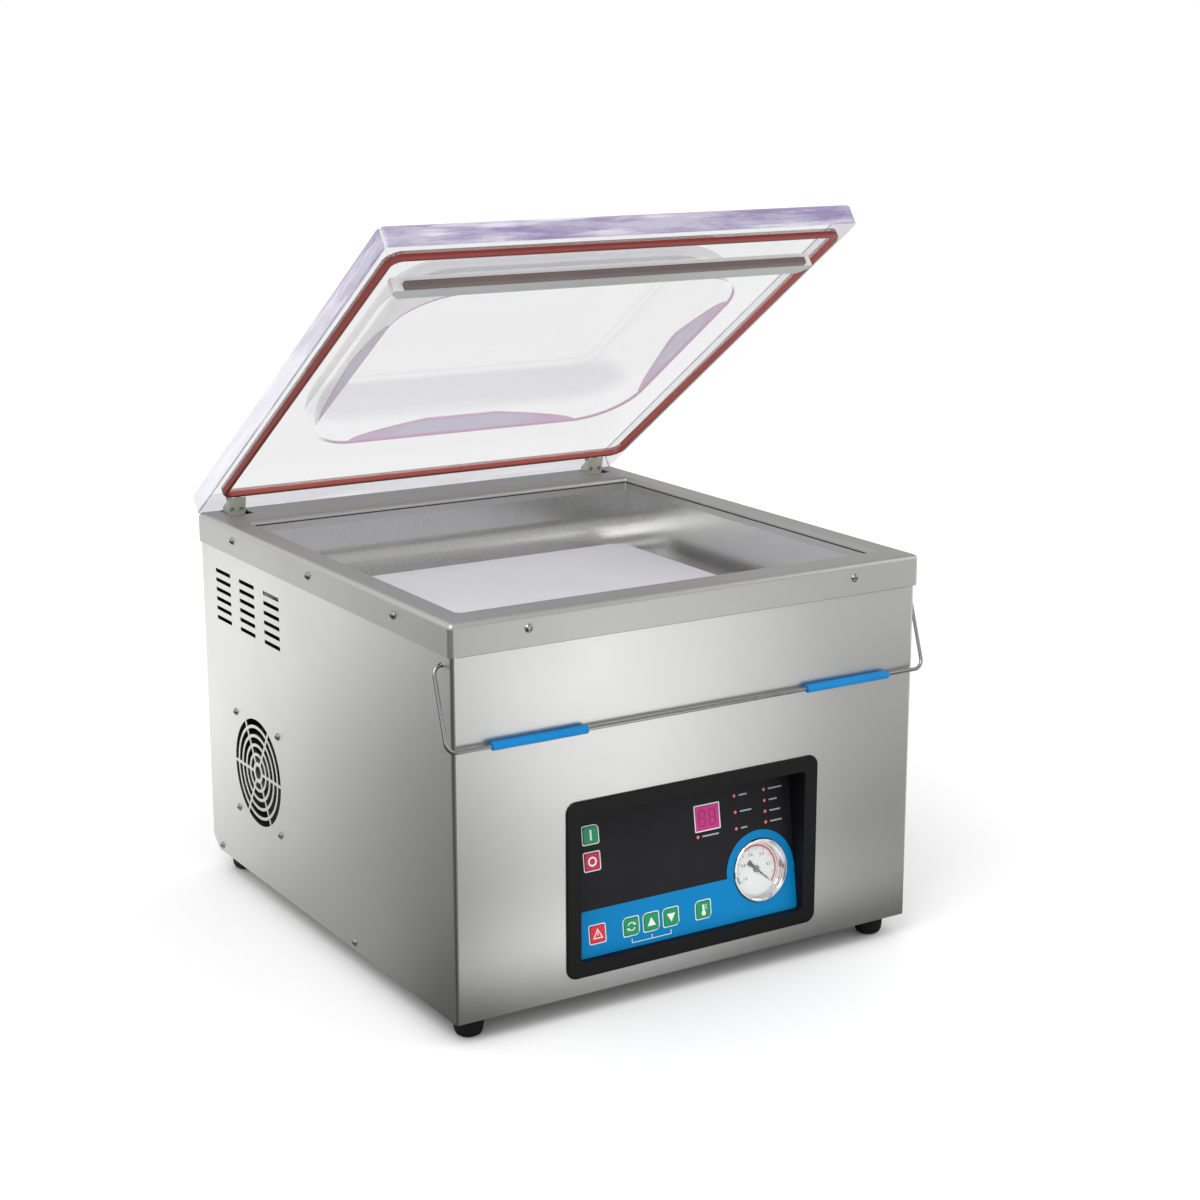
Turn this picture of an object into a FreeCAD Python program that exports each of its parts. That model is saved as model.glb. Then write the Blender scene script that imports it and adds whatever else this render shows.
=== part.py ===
"""Chamber vacuum packing machine for a restaurant kitchen.

Millimetres. +X to the operator's right, -Y towards the operator, +Z up. The origin is on the worktop
under the middle of the machine. The lid stands open and the bail handle hangs in front.
"""
import FreeCAD, Part
import math
import os

V = FreeCAD.Vector
X_AXIS, Y_AXIS, Z_AXIS = V(1, 0, 0), V(0, 1, 0), V(0, 0, 1)

# ---------------------------------------------------------------- driving dimensions
# Top rim: one welded stainless frame with a skirt
RIM_W, RIM_D, RIM_TOP, SKIRT = 490.0, 532.5, 373.2, 29.0
RIM_T, RIM_CORNER, RIM_EDGE = 1.5, 4.0, 5.0
COLLAR_BOTTOM = 361.0

# Cabinet
CAB_W, CAB_D, CAB_BOTTOM, CAB_TOP, CAB_T = 485.0, 528.0, 21.0, 368.0, 1.2
CAB_CORNER, REAR_CHAMFER = 3.0, 13.0
FOOT_R, FOOT_INSET = 14.0, 24.0

# Chamber
CH_X, CH_FRONT, CH_BACK, CH_FLOOR, CH_BEND = 219.0, -233.5, 195.0, 302.0, 34.0
CH_ROLL, CH_CORNER = 4.0, 2.0
PLATE_T = 10.0

# Lid, measured when shut
LID_W, LID_L, LID_T = 489.0, 528.7, 19.6
LID_BACK, LID_GAP, LID_OPEN = 263.0, 5.0, 34.5
PIVOT_Y, PIVOT_Z = 252.2, 360.7
SHAFT_R, RUN_GAP = 4.0, 0.05
DOME_X, DOME_FRONT, DOME_BACK, DOME_H, DOME_WALL = 181.0, -172.0, 121.0, 45.0, 42.0
DOME_SKIN, DOME_CORNER, DOME_LIP = 7.5, 56.0, 3.0
GASKET_X, GASKET_FRONT, GASKET_BACK = 232.0, -249.0, 215.0
GASKET_W, GASKET_PROUD, GASKET_SUNK, GASKET_R = 6.4, 4.5, 3.0, 12.0
HOLDER_X, HOLDER_T, HOLDER_BACK, HOLDER_END = 218.5, 13.2, -197.0, 10.0
STRIP_X, STRIP_FRONT, STRIP_BACK, STRIP_TOP, STRIP_BOTTOM = 209.0, -218.0, -213.0, 6.5, 13.9
BLOCK_X, BLOCK_W = 211.0, 18.5

# Seal bar
SEAL_Y, SEAL_BAR_W, SEAL_X, SEAL_BOTTOM, SEAL_TOP = -215.5, 14.0, 212.0, 331.4, 351.4
SEAL_STROKE, SEAL_ROD_X, SEAL_ROD_R = 11.7, 150.0, 5.0
WIRE_T, TAPE_T = 0.3, 0.3

# Bail handle
BAIL_PIVOT_Y, BAIL_PIVOT_Z = -246.8, 334.4
BAIL_X, BAIL_BAR_Y, BAIL_BAR_Z, BAIL_R, GRIP_R = 250.5, -269.6, 264.9, 1.8, 3.85
BAIL_CORNER, BAIL_CROOK, GRIP_START, GRIP_END = 9.0, 8.0, 116.0, 208.7

# Control panel
BEZEL_X, BEZEL_BOTTOM, BEZEL_TOP, BEZEL_PROUD, BEZEL_CORNER = 134.0, 37.0, 199.5, 2.0, 10.0
WIN_X, WIN_BOTTOM, WIN_TOP, WIN_CORNER = 119.5, 50.5, 185.0, 4.0
TUNNEL_WALL = 3.5
PANEL_TILT = math.radians(8.3)
PANEL_Y0 = -257.8
OVERLAY_T, BACKPLATE_T = 0.6, 1.5
KEY, KEY_GAP, KEY_PROUD, KEY_TRAVEL = 15.0, 0.35, 0.8, 0.8
GAUGE_U, GAUGE_S, GAUGE_R, DIAL_R, DIAL_DEPTH = 81.3, 43.1, 29.4, 23.6, 7.2
NEEDLE_ANGLE = -42.5

# Left side: fan grille and vents
FAN_Y, FAN_Z, GRILLE_R, GRILLE_SLOT, GRILLE_PITCH, GRILLE_EYE = 142.5, 133.0, 54.0, 6.2, 9.3, 6.5
GRILLE_RINGS, SPOKE, FAN_SCREW_PITCH = 5, 3.0, 100.0
FAN_SIZE, FAN_DEPTH, FAN_HUB_R, FAN_BLADES = 115.0, 25.0, 19.0, 7
VENT_Y, VENT_Z0, VENT_PITCH_Y, VENT_PITCH_Z = 96.5, 273.0, 57.6, 9.6
VENT_L, VENT_H, VENT_COLUMNS, VENT_ROWS = 36.0, 4.0, 3, 6

# Fasteners
HEAD_R, HEAD_H, SHANK_R, SHANK_L = 3.9, 2.4, 1.9, 6.0
SCREW_HOLE = SHANK_R + 0.15

PIVOT = V(0, PIVOT_Y, PIVOT_Z)
LID_BOTTOM = RIM_TOP + LID_GAP


# ---------------------------------------------------------------- helpers
def box(x0, x1, y0, y1, z0, z1):
    """Block between two corners."""
    return Part.makeBox(x1 - x0, y1 - y0, z1 - z0, V(x0, y0, z0))


def cyl(radius, length, base, axis=Z_AXIS):
    """Cylinder from base along axis."""
    return Part.makeCylinder(radius, length, base, axis)


def rounded_rect(half_x, y0, y1, corner, z):
    """Wire of a rounded rectangle, centred on X, in the plane z."""
    c = corner
    k = c * (1 - math.sqrt(0.5))
    x = half_x
    edges = [
        Part.LineSegment(V(-x + c, y0, z), V(x - c, y0, z)),
        Part.Arc(V(x - c, y0, z), V(x - k, y0 + k, z), V(x, y0 + c, z)),
        Part.LineSegment(V(x, y0 + c, z), V(x, y1 - c, z)),
        Part.Arc(V(x, y1 - c, z), V(x - k, y1 - k, z), V(x - c, y1, z)),
        Part.LineSegment(V(x - c, y1, z), V(-x + c, y1, z)),
        Part.Arc(V(-x + c, y1, z), V(-x + k, y1 - k, z), V(-x, y1 - c, z)),
        Part.LineSegment(V(-x, y1 - c, z), V(-x, y0 + c, z)),
        Part.Arc(V(-x, y0 + c, z), V(-x + k, y0 + k, z), V(-x + c, y0, z)),
    ]
    return Part.Wire([e.toShape() for e in edges])


def slab(half_x, y0, y1, corner, z0, z1):
    """Rounded rectangle drawn from z0 up to z1."""
    return Part.Face(rounded_rect(half_x, y0, y1, corner, z0)).extrude(V(0, 0, z1 - z0))


def edges_at(shape, test):
    """Edges whose middle and ends all satisfy test."""
    found = []
    for edge in shape.Edges:
        points = [v.Point for v in edge.Vertexes] + [edge.valueAt((edge.FirstParameter + edge.LastParameter) / 2)]
        if all(test(p) for p in points):
            found.append(edge)
    return found


def near(a, b, tol=0.02):
    return abs(a - b) < tol


def extrude_yz(points, x0, x1):
    """Polygon in the YZ plane, drawn from x0 to x1."""
    corners = [V(x0, y, z) for y, z in points]
    return Part.Face(Part.makePolygon(corners + corners[:1])).extrude(V(x1 - x0, 0, 0))


def revolve(points, base=V(0, 0, 0)):
    """Profile of (radius, height) turned about the Z axis."""
    corners = [V(r, 0, h) for r, h in points]
    solid = Part.Face(Part.makePolygon(corners + corners[:1])).revolve(V(0, 0, 0), Z_AXIS, 360)
    solid.translate(base)
    return solid


def aim(shape, base, direction):
    """Turn a shape built along +Z so that it points along direction, and move it to base."""
    shape.Placement = FreeCAD.Placement(base, FreeCAD.Rotation(Z_AXIS, direction))
    return shape


def union(shapes):
    first = shapes[0]
    return first.fuse(shapes[1:]).removeSplitter() if len(shapes) > 1 else first


def group(shapes):
    return Part.makeCompound(shapes)


def save(name, shape):
    shape.exportStep("parts/" + name + ".step")


def screw(base, direction, length=SHANK_L):
    """Button-head machine screw with a hexagon socket, seated at base."""
    crown = Part.makeSphere(HEAD_R * 1.18, V(0, 0, HEAD_H - HEAD_R * 1.18))
    head = cyl(HEAD_R, HEAD_H, V(0, 0, 0)).common(crown)
    socket_r = HEAD_R * 0.42
    corners = [V(socket_r * math.cos(math.radians(60 * i)), socket_r * math.sin(math.radians(60 * i)), 1.0)
               for i in range(7)]
    socket = Part.Face(Part.makePolygon(corners)).extrude(V(0, 0, HEAD_H))
    return aim(union([head, cyl(SHANK_R, length, V(0, 0, -length))]).cut(socket), base, direction)


def drill(base, direction, radius=SCREW_HOLE, depth=20.0):
    """Drill that passes through the sheets on both sides of base."""
    return cyl(radius, depth, base - direction * (depth / 2), direction)


def tube_path(points, bend):
    """Straight runs joined by tangent arcs."""
    edges = []
    start = points[0]
    for before, corner, after in zip(points, points[1:], points[2:]):
        to_before = (before - corner).normalize()
        to_after = (after - corner).normalize()
        half = to_before.getAngle(to_after) / 2
        reach = bend / math.tan(half)
        a, b = corner + to_before * reach, corner + to_after * reach
        middle = (to_before + to_after).normalize()
        top = corner + middle * (bend / math.sin(half) - bend)
        edges += [Part.LineSegment(start, a).toShape(), Part.Arc(a, top, b).toShape()]
        start = b
    edges.append(Part.LineSegment(start, points[-1]).toShape())
    return Part.Wire(edges)


def rod(points, bend, radius, bore=0.0):
    """Round bar or tube along a path."""
    path = tube_path(points, bend)
    direction = (points[1] - points[0]).normalize()
    outer = path.makePipeShell([Part.Wire(Part.Circle(points[0], direction, radius).toShape())], True, False)
    if not bore:
        return outer
    return outer.cut(path.makePipeShell([Part.Wire(Part.Circle(points[0], direction, bore).toShape())], True, False))


# ---------------------------------------------------------------- frames of reference
def on_panel(shape):
    """Move a shape from panel coordinates (across, up the slope, out of the face) to its place."""
    s, c = math.sin(PANEL_TILT), math.cos(PANEL_TILT)
    matrix = FreeCAD.Matrix(1, 0, 0, 0, 0, s, -c, PANEL_Y0, 0, c, s, WIN_BOTTOM, 0, 0, 0, 1)
    shape.Placement = FreeCAD.Placement(matrix).multiply(shape.Placement)
    return shape


def opened(shape):
    """Swing a shape built on the shut lid to its open place."""
    shape.rotate(PIVOT, X_AXIS, -LID_OPEN)
    return shape


def lid_point(back_distance, height):
    """Point of the open lid in YZ, by distance from its back edge and height over its lower face."""
    p = V(0, LID_BACK - back_distance, LID_BOTTOM + height) - PIVOT
    a = math.radians(-LID_OPEN)
    return (PIVOT_Y + p.y * math.cos(a) - p.z * math.sin(a), PIVOT_Z + p.y * math.sin(a) + p.z * math.cos(a))


# ---------------------------------------------------------------- screw places
RIM_SCREW_X, RIM_SCREW_REAR_X, RIM_SCREW_FRONT_Z, RIM_SCREW_SIDE_Z = 170.4, 120.0, 360.0, 359.2
RIM_SCREW_SIDE_Y = (180.0, 6.0, -165.0)
BASE_SCREW_PLACES = ((241.0, 27.5), (-68.0, 28.5))
REAR_SCREW_X, REAR_SCREW_Z = 225.0, (48.0, 180.0, 320.0)


def rim_screw_places():
    places = []
    for side in (-1, 1):
        places.append((V(side * RIM_SCREW_X, -RIM_D / 2, RIM_SCREW_FRONT_Z), V(0, -1, 0)))
        places.append((V(side * RIM_SCREW_REAR_X, RIM_D / 2, RIM_SCREW_FRONT_Z), V(0, 1, 0)))
        for y in RIM_SCREW_SIDE_Y:
            places.append((V(side * RIM_W / 2, y, RIM_SCREW_SIDE_Z), V(side, 0, 0)))
    return places


def base_screw_places():
    places = []
    for side in (-1, 1):
        places += [(V(side * CAB_W / 2, y, z), V(side, 0, 0)) for y, z in BASE_SCREW_PLACES]
        places += [(V(side * REAR_SCREW_X, CAB_D / 2, z), V(0, 1, 0)) for z in REAR_SCREW_Z]
    return places


def fan_screw_places():
    half = FAN_SCREW_PITCH / 2
    return [(V(-CAB_W / 2, FAN_Y + a * half, FAN_Z + b * half), V(-1, 0, 0)) for a in (-1, 1) for b in (-1, 1)]


# ---------------------------------------------------------------- top frame and chamber
def top_rim():
    half_d = RIM_D / 2
    low = RIM_TOP - SKIRT
    outer = slab(RIM_W / 2, -half_d, half_d, RIM_CORNER, low, RIM_TOP)
    outer = outer.makeFillet(RIM_EDGE - 0.01, edges_at(outer, lambda p: near(p.z, RIM_TOP)))
    outer = outer.cut(slab(CH_X, CH_FRONT, CH_BACK, CH_CORNER, low, RIM_TOP + 1))
    outer = outer.makeFillet(CH_ROLL, edges_at(outer, lambda p: near(p.z, RIM_TOP) and abs(p.x) < CH_X + 1
                                               and CH_FRONT - 1 < p.y < CH_BACK + 1))
    t = RIM_T
    inner = slab(RIM_W / 2 - t, -half_d + t, half_d - t, RIM_CORNER - t, low - 1, RIM_TOP - t)
    inner = inner.makeFillet(RIM_EDGE - t - 0.02, edges_at(inner, lambda p: near(p.z, RIM_TOP - t)))
    inner = inner.cut(slab(CH_X + t, CH_FRONT - t, CH_BACK + t, CH_CORNER + t, low - 2, RIM_TOP))
    inner = inner.makeFillet(CH_ROLL - t, edges_at(inner, lambda p: near(p.z, RIM_TOP - t)
                                                   and abs(p.x) < CH_X + t + 1 and CH_FRONT - t - 1 < p.y < CH_BACK + t + 1))
    rim = outer.cut(inner)
    rim = rim.cut(box(-CH_X - 9, CH_X + 9, CH_FRONT - 9, CH_BACK + 9, low - 5, COLLAR_BOTTOM))
    for side in (-1, 1):
        half_slot = BLOCK_W / 2 + 3.2
        rim = rim.cut(box(side * BLOCK_X - half_slot, side * BLOCK_X + half_slot, 231.0, 261.0, RIM_TOP - 4, RIM_TOP + 1))
    for place, direction in rim_screw_places():
        rim = rim.cut(drill(place, direction))
    return rim


def tub_profile(grow, top):
    """U-shaped section of the chamber, bent up at front and back, grown outwards by grow."""
    front, back, floor, r = CH_FRONT - grow, CH_BACK + grow, CH_FLOOR - grow, CH_BEND + grow
    k = r * math.sqrt(0.5)
    fx, bx, cz = front + r, back - r, floor + r
    edges = [
        Part.LineSegment(V(0, front, top), V(0, front, cz)),
        Part.Arc(V(0, front, cz), V(0, fx - k, cz - k), V(0, fx, floor)),
        Part.LineSegment(V(0, fx, floor), V(0, bx, floor)),
        Part.Arc(V(0, bx, floor), V(0, bx + k, cz - k), V(0, back, cz)),
        Part.LineSegment(V(0, back, cz), V(0, back, top)),
        Part.LineSegment(V(0, back, top), V(0, front, top)),
    ]
    return Part.Face(Part.Wire([e.toShape() for e in edges]))


def tub_block(grow, top):
    block = tub_profile(grow, top).extrude(V(2 * (CH_X + grow), 0, 0))
    block.translate(V(-CH_X - grow, 0, 0))
    return block


PORT_Y, PORT_Z, PORT_R = 60.0, 332.0, 8.0
AIR_X, AIR_Y, AIR_R = 100.0, -100.0, 6.0


def chamber_tub():
    tub = tub_block(RIM_T, COLLAR_BOTTOM).cut(tub_block(0, COLLAR_BOTTOM + 1))
    for side in (-1, 1):
        tub = tub.cut(cyl(SEAL_ROD_R + RUN_GAP, 60, V(side * SEAL_ROD_X, SEAL_Y, 270)))
    tub = tub.cut(cyl(PORT_R, 10, V(-CH_X - 5, PORT_Y, PORT_Z), X_AXIS))
    return tub.cut(cyl(AIR_R, 10, V(AIR_X, AIR_Y, CH_FLOOR - 5)))


def filler_plate():
    plate = slab(190, -190, 158, 18, CH_FLOOR, CH_FLOOR + PLATE_T)
    plate = plate.makeFillet(1.5, edges_at(plate, lambda p: near(p.z, CH_FLOOR + PLATE_T)))
    for side in (-1, 1):
        plate = plate.cut(cyl(12, PLATE_T + 2, V(side * 150, -150, CH_FLOOR - 1)))
    return plate.cut(cyl(AIR_R + 8, PLATE_T + 2, V(AIR_X, AIR_Y, CH_FLOOR - 1)))


# ---------------------------------------------------------------- cabinet
def grille_cut():
    """Eye and five rings of slots, parted by six spokes."""
    x0 = -CAB_W / 2 - 1
    centre = V(x0, FAN_Y, FAN_Z)
    rings = []
    for i in range(GRILLE_RINGS):
        r = GRILLE_R - i * GRILLE_PITCH
        rings.append(cyl(r, CAB_T + 2, centre, X_AXIS).cut(cyl(r - GRILLE_SLOT, CAB_T + 2, centre, X_AXIS)))
    slots = rings[0].fuse(rings[1:])
    for i in range(3):
        spoke = box(x0 - 1, x0 + CAB_T + 3, FAN_Y - GRILLE_R - 2, FAN_Y + GRILLE_R + 2, FAN_Z - SPOKE / 2, FAN_Z + SPOKE / 2)
        spoke.rotate(V(0, FAN_Y, FAN_Z), X_AXIS, 60 * i)
        slots = slots.cut(spoke)
    return slots.fuse(cyl(GRILLE_EYE, CAB_T + 2, centre, X_AXIS))


def vent_cuts(side):
    cuts = []
    for column in range(VENT_COLUMNS):
        y = VENT_Y + column * VENT_PITCH_Y
        for row in range(VENT_ROWS):
            z = VENT_Z0 + row * VENT_PITCH_Z
            x = side * CAB_W / 2
            slot = box(x - 3, x + 3, y - VENT_L / 2, y + VENT_L / 2, z - VENT_H / 2, z + VENT_H / 2)
            cuts.append(slot.makeFillet(1.2, edges_at(slot, lambda p: near(p.x, p.x)
                                                      and abs(abs(p.y - y) - VENT_L / 2) < 0.01
                                                      and abs(abs(p.z - z) - VENT_H / 2) < 0.01)))
    return group(cuts)


def cabinet_wrap():
    """Front and both sides folded from one sheet."""
    half_w, half_d, t = CAB_W / 2, CAB_D / 2, CAB_T
    outer = slab(half_w, -half_d, half_d + 20, CAB_CORNER, CAB_BOTTOM, CAB_TOP)
    inner = slab(half_w - t, -half_d + t, half_d + 40, CAB_CORNER - t, CAB_BOTTOM - 1, CAB_TOP + 1)
    wrap = outer.cut(inner).cut(box(-300, 300, half_d, half_d + 50, 0, 400))
    chamfer = extrude_yz([(half_d + 1, CAB_BOTTOM - 1), (half_d + 1, CAB_BOTTOM + REAR_CHAMFER + 1),
                          (half_d - REAR_CHAMFER - 1, CAB_BOTTOM - 1)], -300, 300)
    wrap = wrap.cut(chamfer)
    wrap = wrap.cut(box(-WIN_X - 7, WIN_X + 7, -half_d - 1, -half_d + 5, WIN_BOTTOM - 7, WIN_TOP + 7))
    wrap = wrap.cut(grille_cut()).cut(vent_cuts(-1)).cut(vent_cuts(1))
    wrap = wrap.cut(cyl(BAIL_R + 0.4, 2 * CAB_W, V(-CAB_W, BAIL_PIVOT_Y, BAIL_PIVOT_Z), X_AXIS))
    for place, direction in rim_screw_places() + base_screw_places() + fan_screw_places():
        wrap = wrap.cut(drill(place, direction))
    return wrap


INLET_X, INLET_Z = 170.0, 75.0


def rear_panel():
    half_d, t, c = CAB_D / 2, CAB_T, REAR_CHAMFER
    low = CAB_BOTTOM
    profile = [(half_d, CAB_TOP), (half_d, low + c), (half_d - c, low), (half_d - c - t * math.sqrt(2), low),
               (half_d - t, low + c + t * (math.sqrt(2) - 1)), (half_d - t, CAB_TOP)]
    panel = extrude_yz(profile, -CAB_W / 2 + t + 0.1, CAB_W / 2 - t - 0.1)
    for column in range(-2, 3):
        for row in range(VENT_ROWS):
            z = 120 + row * VENT_PITCH_Z
            x = column * VENT_PITCH_Y
            panel = panel.cut(box(x - VENT_L / 2, x + VENT_L / 2, half_d - 3, half_d + 1, z - VENT_H / 2, z + VENT_H / 2))
    panel = panel.cut(box(INLET_X - 13.6, INLET_X + 13.6, half_d - 3, half_d + 1, INLET_Z - 9.9, INLET_Z + 9.9))
    for place, direction in rim_screw_places() + base_screw_places():
        if direction.y > 0:
            panel = panel.cut(drill(place, direction))
    return panel


def base_tray():
    half_w = CAB_W / 2 - CAB_T - 0.1
    front, back = -CAB_D / 2 + CAB_T + 0.1, CAB_D / 2 - REAR_CHAMFER - 2.0
    tray = slab(half_w, front, back, 3.0, CAB_BOTTOM, CAB_BOTTOM + 16)
    hollow = box(-half_w + 1.5, half_w - 1.5, front + 1.5, back - 1.5, CAB_BOTTOM + 1.5, CAB_BOTTOM + 20)
    tray = tray.cut(hollow)
    for place, direction in base_screw_places():
        tray = tray.cut(drill(place, direction))
    return tray


def feet():
    profile = [(0, 0), (8.5, 0), (11.2, 1.6), (12.6, 4.6), (13.3, 9), (FOOT_R, CAB_BOTTOM), (0, CAB_BOTTOM)]
    x, y = CAB_W / 2 - FOOT_INSET, CAB_D / 2 - FOOT_INSET
    return group([revolve(profile, V(a * x, b * y, 0)) for a in (-1, 1) for b in (-1, 1)])


# ---------------------------------------------------------------- cooling fan
FAN_BACK_X = -CAB_W / 2 + CAB_T


def fan_frame():
    x0, x1 = FAN_BACK_X, FAN_BACK_X + FAN_DEPTH
    half = FAN_SIZE / 2
    frame = box(x0, x1, FAN_Y - half, FAN_Y + half, FAN_Z - half, FAN_Z + half)
    frame = frame.makeFillet(7, edges_at(frame, lambda p: near(abs(p.y - FAN_Y), half) and near(abs(p.z - FAN_Z), half)))
    centre = V(x0, FAN_Y, FAN_Z)
    frame = frame.cut(cyl(GRILLE_R + 0.5, FAN_DEPTH, centre, X_AXIS))
    inner_x = V(x1 - 3, FAN_Y, FAN_Z)
    struts = [cyl(FAN_HUB_R, 3, inner_x, X_AXIS), cyl(2, 12, V(x1 - 15, FAN_Y, FAN_Z), X_AXIS)]
    for i in range(2):
        arm = box(x1 - 3, x1, FAN_Y - half + 2, FAN_Y + half - 2, FAN_Z - 2.5, FAN_Z + 2.5)
        arm.rotate(V(0, FAN_Y, FAN_Z), X_AXIS, 45 + 90 * i)
        struts.append(arm.common(cyl(GRILLE_R + 4, FAN_DEPTH, centre, X_AXIS)))
    frame = union([frame] + struts)
    for place, direction in fan_screw_places():
        frame = frame.cut(drill(place, direction))
    return frame


def fan_impeller():
    x0, x1 = FAN_BACK_X + 2.0, FAN_BACK_X + FAN_DEPTH - 4.5
    parts = [cyl(FAN_HUB_R, x1 - x0, V(x0, FAN_Y, FAN_Z), X_AXIS)]
    for i in range(FAN_BLADES):
        blade = box(-11, 11, -0.9, 0.9, FAN_HUB_R - 2, GRILLE_R - 1)
        blade.rotate(V(0, 0, 0), Z_AXIS, 38)
        blade.translate(V((x0 + x1) / 2, FAN_Y, FAN_Z))
        blade.rotate(V(0, FAN_Y, FAN_Z), X_AXIS, 360 * i / FAN_BLADES)
        parts.append(blade)
    hull = cyl(GRILLE_R - 1, x1 - x0, V(x0, FAN_Y, FAN_Z), X_AXIS)
    wheel = union(parts).common(hull)
    return wheel.cut(cyl(2 + RUN_GAP, 14, V(x1 - 13, FAN_Y, FAN_Z), X_AXIS))


# ---------------------------------------------------------------- lid
def dome(grown, lift):
    """Blown dome: steep at its mouth, rolling over a quarter of an ellipse to its flat crown."""
    wires = []
    for turn in (0, 20, 45, 70, 90):
        inset = DOME_WALL * (1 - math.cos(math.radians(turn))) - grown
        z = LID_BOTTOM + lift + DOME_H * math.sin(math.radians(turn))
        corner = DOME_CORNER - 0.6 * inset
        wires.append(rounded_rect(DOME_X - inset, DOME_FRONT + inset, DOME_BACK - inset, corner, z))
    return Part.makeLoft(wires, True, False)


def gasket_ring(z0, z1):
    w = GASKET_W / 2
    ring = slab(GASKET_X + w, GASKET_FRONT - w, GASKET_BACK + w, GASKET_R + w, z0, z1)
    return ring.cut(slab(GASKET_X - w, GASKET_FRONT + w, GASKET_BACK - w, GASKET_R - w, z0 - 1, z1 + 1))


def hinge_screw_places():
    """Place and direction, on the shut lid, of the screws that hold the hinge blocks."""
    return [V(side * BLOCK_X + dx, LID_BACK - 24.0, LID_BOTTOM) for side in (-1, 1) for dx in (-5.0, 5.0)]


def at_dome_mouth(p):
    return near(p.z, LID_BOTTOM) and abs(p.x) < DOME_X + 1 and DOME_FRONT - 1 < p.y < DOME_BACK + 1


def lid_panel():
    plate = slab(LID_W / 2, LID_BACK - LID_L, LID_BACK, 7, LID_BOTTOM, LID_BOTTOM + LID_T)
    plate = plate.makeFillet(1.5, edges_at(plate, lambda p: near(p.z, LID_BOTTOM) or near(p.z, LID_BOTTOM + LID_T)))
    plate = plate.fuse(dome(DOME_SKIN, DOME_SKIN)).cut(dome(0, 0))
    plate = plate.makeFillet(DOME_LIP, edges_at(plate, at_dome_mouth))
    plate = plate.cut(gasket_ring(LID_BOTTOM - 1, LID_BOTTOM + GASKET_SUNK))
    for place in hinge_screw_places():
        plate = plate.cut(cyl(2.5, 12, place))
    return opened(plate)


def lid_gasket():
    low = LID_BOTTOM - GASKET_PROUD
    ring = gasket_ring(low, LID_BOTTOM + GASKET_SUNK)
    return opened(ring.makeFillet(2.0, edges_at(ring, lambda p: near(p.z, low))))


def counter_bar_holder():
    holder = box(-HOLDER_X, HOLDER_X, STRIP_BACK, HOLDER_BACK, LID_BOTTOM - HOLDER_T, LID_BOTTOM)
    holder = holder.makeChamfer(HOLDER_END, edges_at(holder, lambda p: near(abs(p.x), HOLDER_X) and near(p.y, HOLDER_BACK)))
    low = LID_BOTTOM - HOLDER_T
    return opened(holder.makeFillet(2, edges_at(holder, lambda p: near(p.z, low) and near(p.y, HOLDER_BACK))))


def counter_strip():
    strip = box(-STRIP_X, STRIP_X, STRIP_FRONT, STRIP_BACK, LID_BOTTOM - STRIP_BOTTOM, LID_BOTTOM - STRIP_TOP)
    low = LID_BOTTOM - STRIP_BOTTOM
    return opened(strip.makeFillet(2, edges_at(strip, lambda p: near(p.z, low))))


def hinge_blocks():
    outline = [lid_point(34, 0), lid_point(14, 0), (259.0, 369.5), (258.5, 361.0), (252.2, 353.7), (245.7, 361.5),
               (246.0, 373.0)]
    blocks = []
    for side in (-1, 1):
        x0, x1 = side * BLOCK_X - BLOCK_W / 2, side * BLOCK_X + BLOCK_W / 2
        block = union([extrude_yz(outline, x0, x1), cyl(7, BLOCK_W, V(x0, PIVOT_Y, PIVOT_Z), X_AXIS)])
        block = block.cut(cyl(SHAFT_R + RUN_GAP, BLOCK_W + 2, V(x0 - 1, PIVOT_Y, PIVOT_Z), X_AXIS))
        for place in hinge_screw_places():
            block = block.cut(opened(cyl(2.5, 30, place - V(0, 0, 14))))
        blocks.append(block)
    return group(blocks)


def hinge_screws():
    return group([opened(cyl(2.5, 16, place - V(0, 0, 6))) for place in hinge_screw_places()])


# ---------------------------------------------------------------- lid hinge in the cabinet
EAR_INNER, EAR_T, BRACKET_BACK = 13.0, 2.0, CAB_D / 2 - CAB_T


def hinge_brackets():
    brackets = []
    for side in (-1, 1):
        low, high = PIVOT_Z - 13, PIVOT_Z + 7
        x = side * BLOCK_X
        parts = [box(x - EAR_INNER - EAR_T, x + EAR_INNER + EAR_T, BRACKET_BACK - 1.5, BRACKET_BACK, low, high)]
        for x0 in (x - EAR_INNER - EAR_T, x + EAR_INNER):
            parts.append(box(x0, x0 + EAR_T, PIVOT_Y - 7, BRACKET_BACK, low, high))
        bracket = union(parts)
        brackets.append(bracket.cut(cyl(SHAFT_R, 60, V(x - 30, PIVOT_Y, PIVOT_Z), X_AXIS)))
    return group(brackets)


def hinge_shaft():
    return cyl(SHAFT_R, 474, V(-237, PIVOT_Y, PIVOT_Z), X_AXIS)


def hinge_springs():
    pitch, turns, mean_r, wire_r = 3.0, 14, 7.4, 1.2
    springs = []
    for side in (-1, 1):
        helix = Part.makeHelix(pitch, pitch * turns, mean_r)
        ring = Part.Wire(Part.Circle(V(mean_r, 0, 0), V(0, 1, pitch / (2 * math.pi * mean_r)), wire_r).toShape())
        coil = Part.Wire(helix.Edges).makePipeShell([ring], True, True)
        springs.append(aim(coil, V(side * 166 - pitch * turns / 2, PIVOT_Y, PIVOT_Z), X_AXIS))
    return group(springs)


def lid_switch():
    body = box(168, 188, 226, 233, 341, 351)
    lever = box(170, 192, 228, 231, 351.5, 352.1).fuse(cyl(2.2, 3, V(190, 228, 353.5), Y_AXIS))
    pin = box(171, 173, 228, 231, 350, 352)
    bracket = box(166, 190, 233, 234.5, 338, CAB_TOP + 3.5)
    return union([body, lever, pin, bracket])


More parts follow.
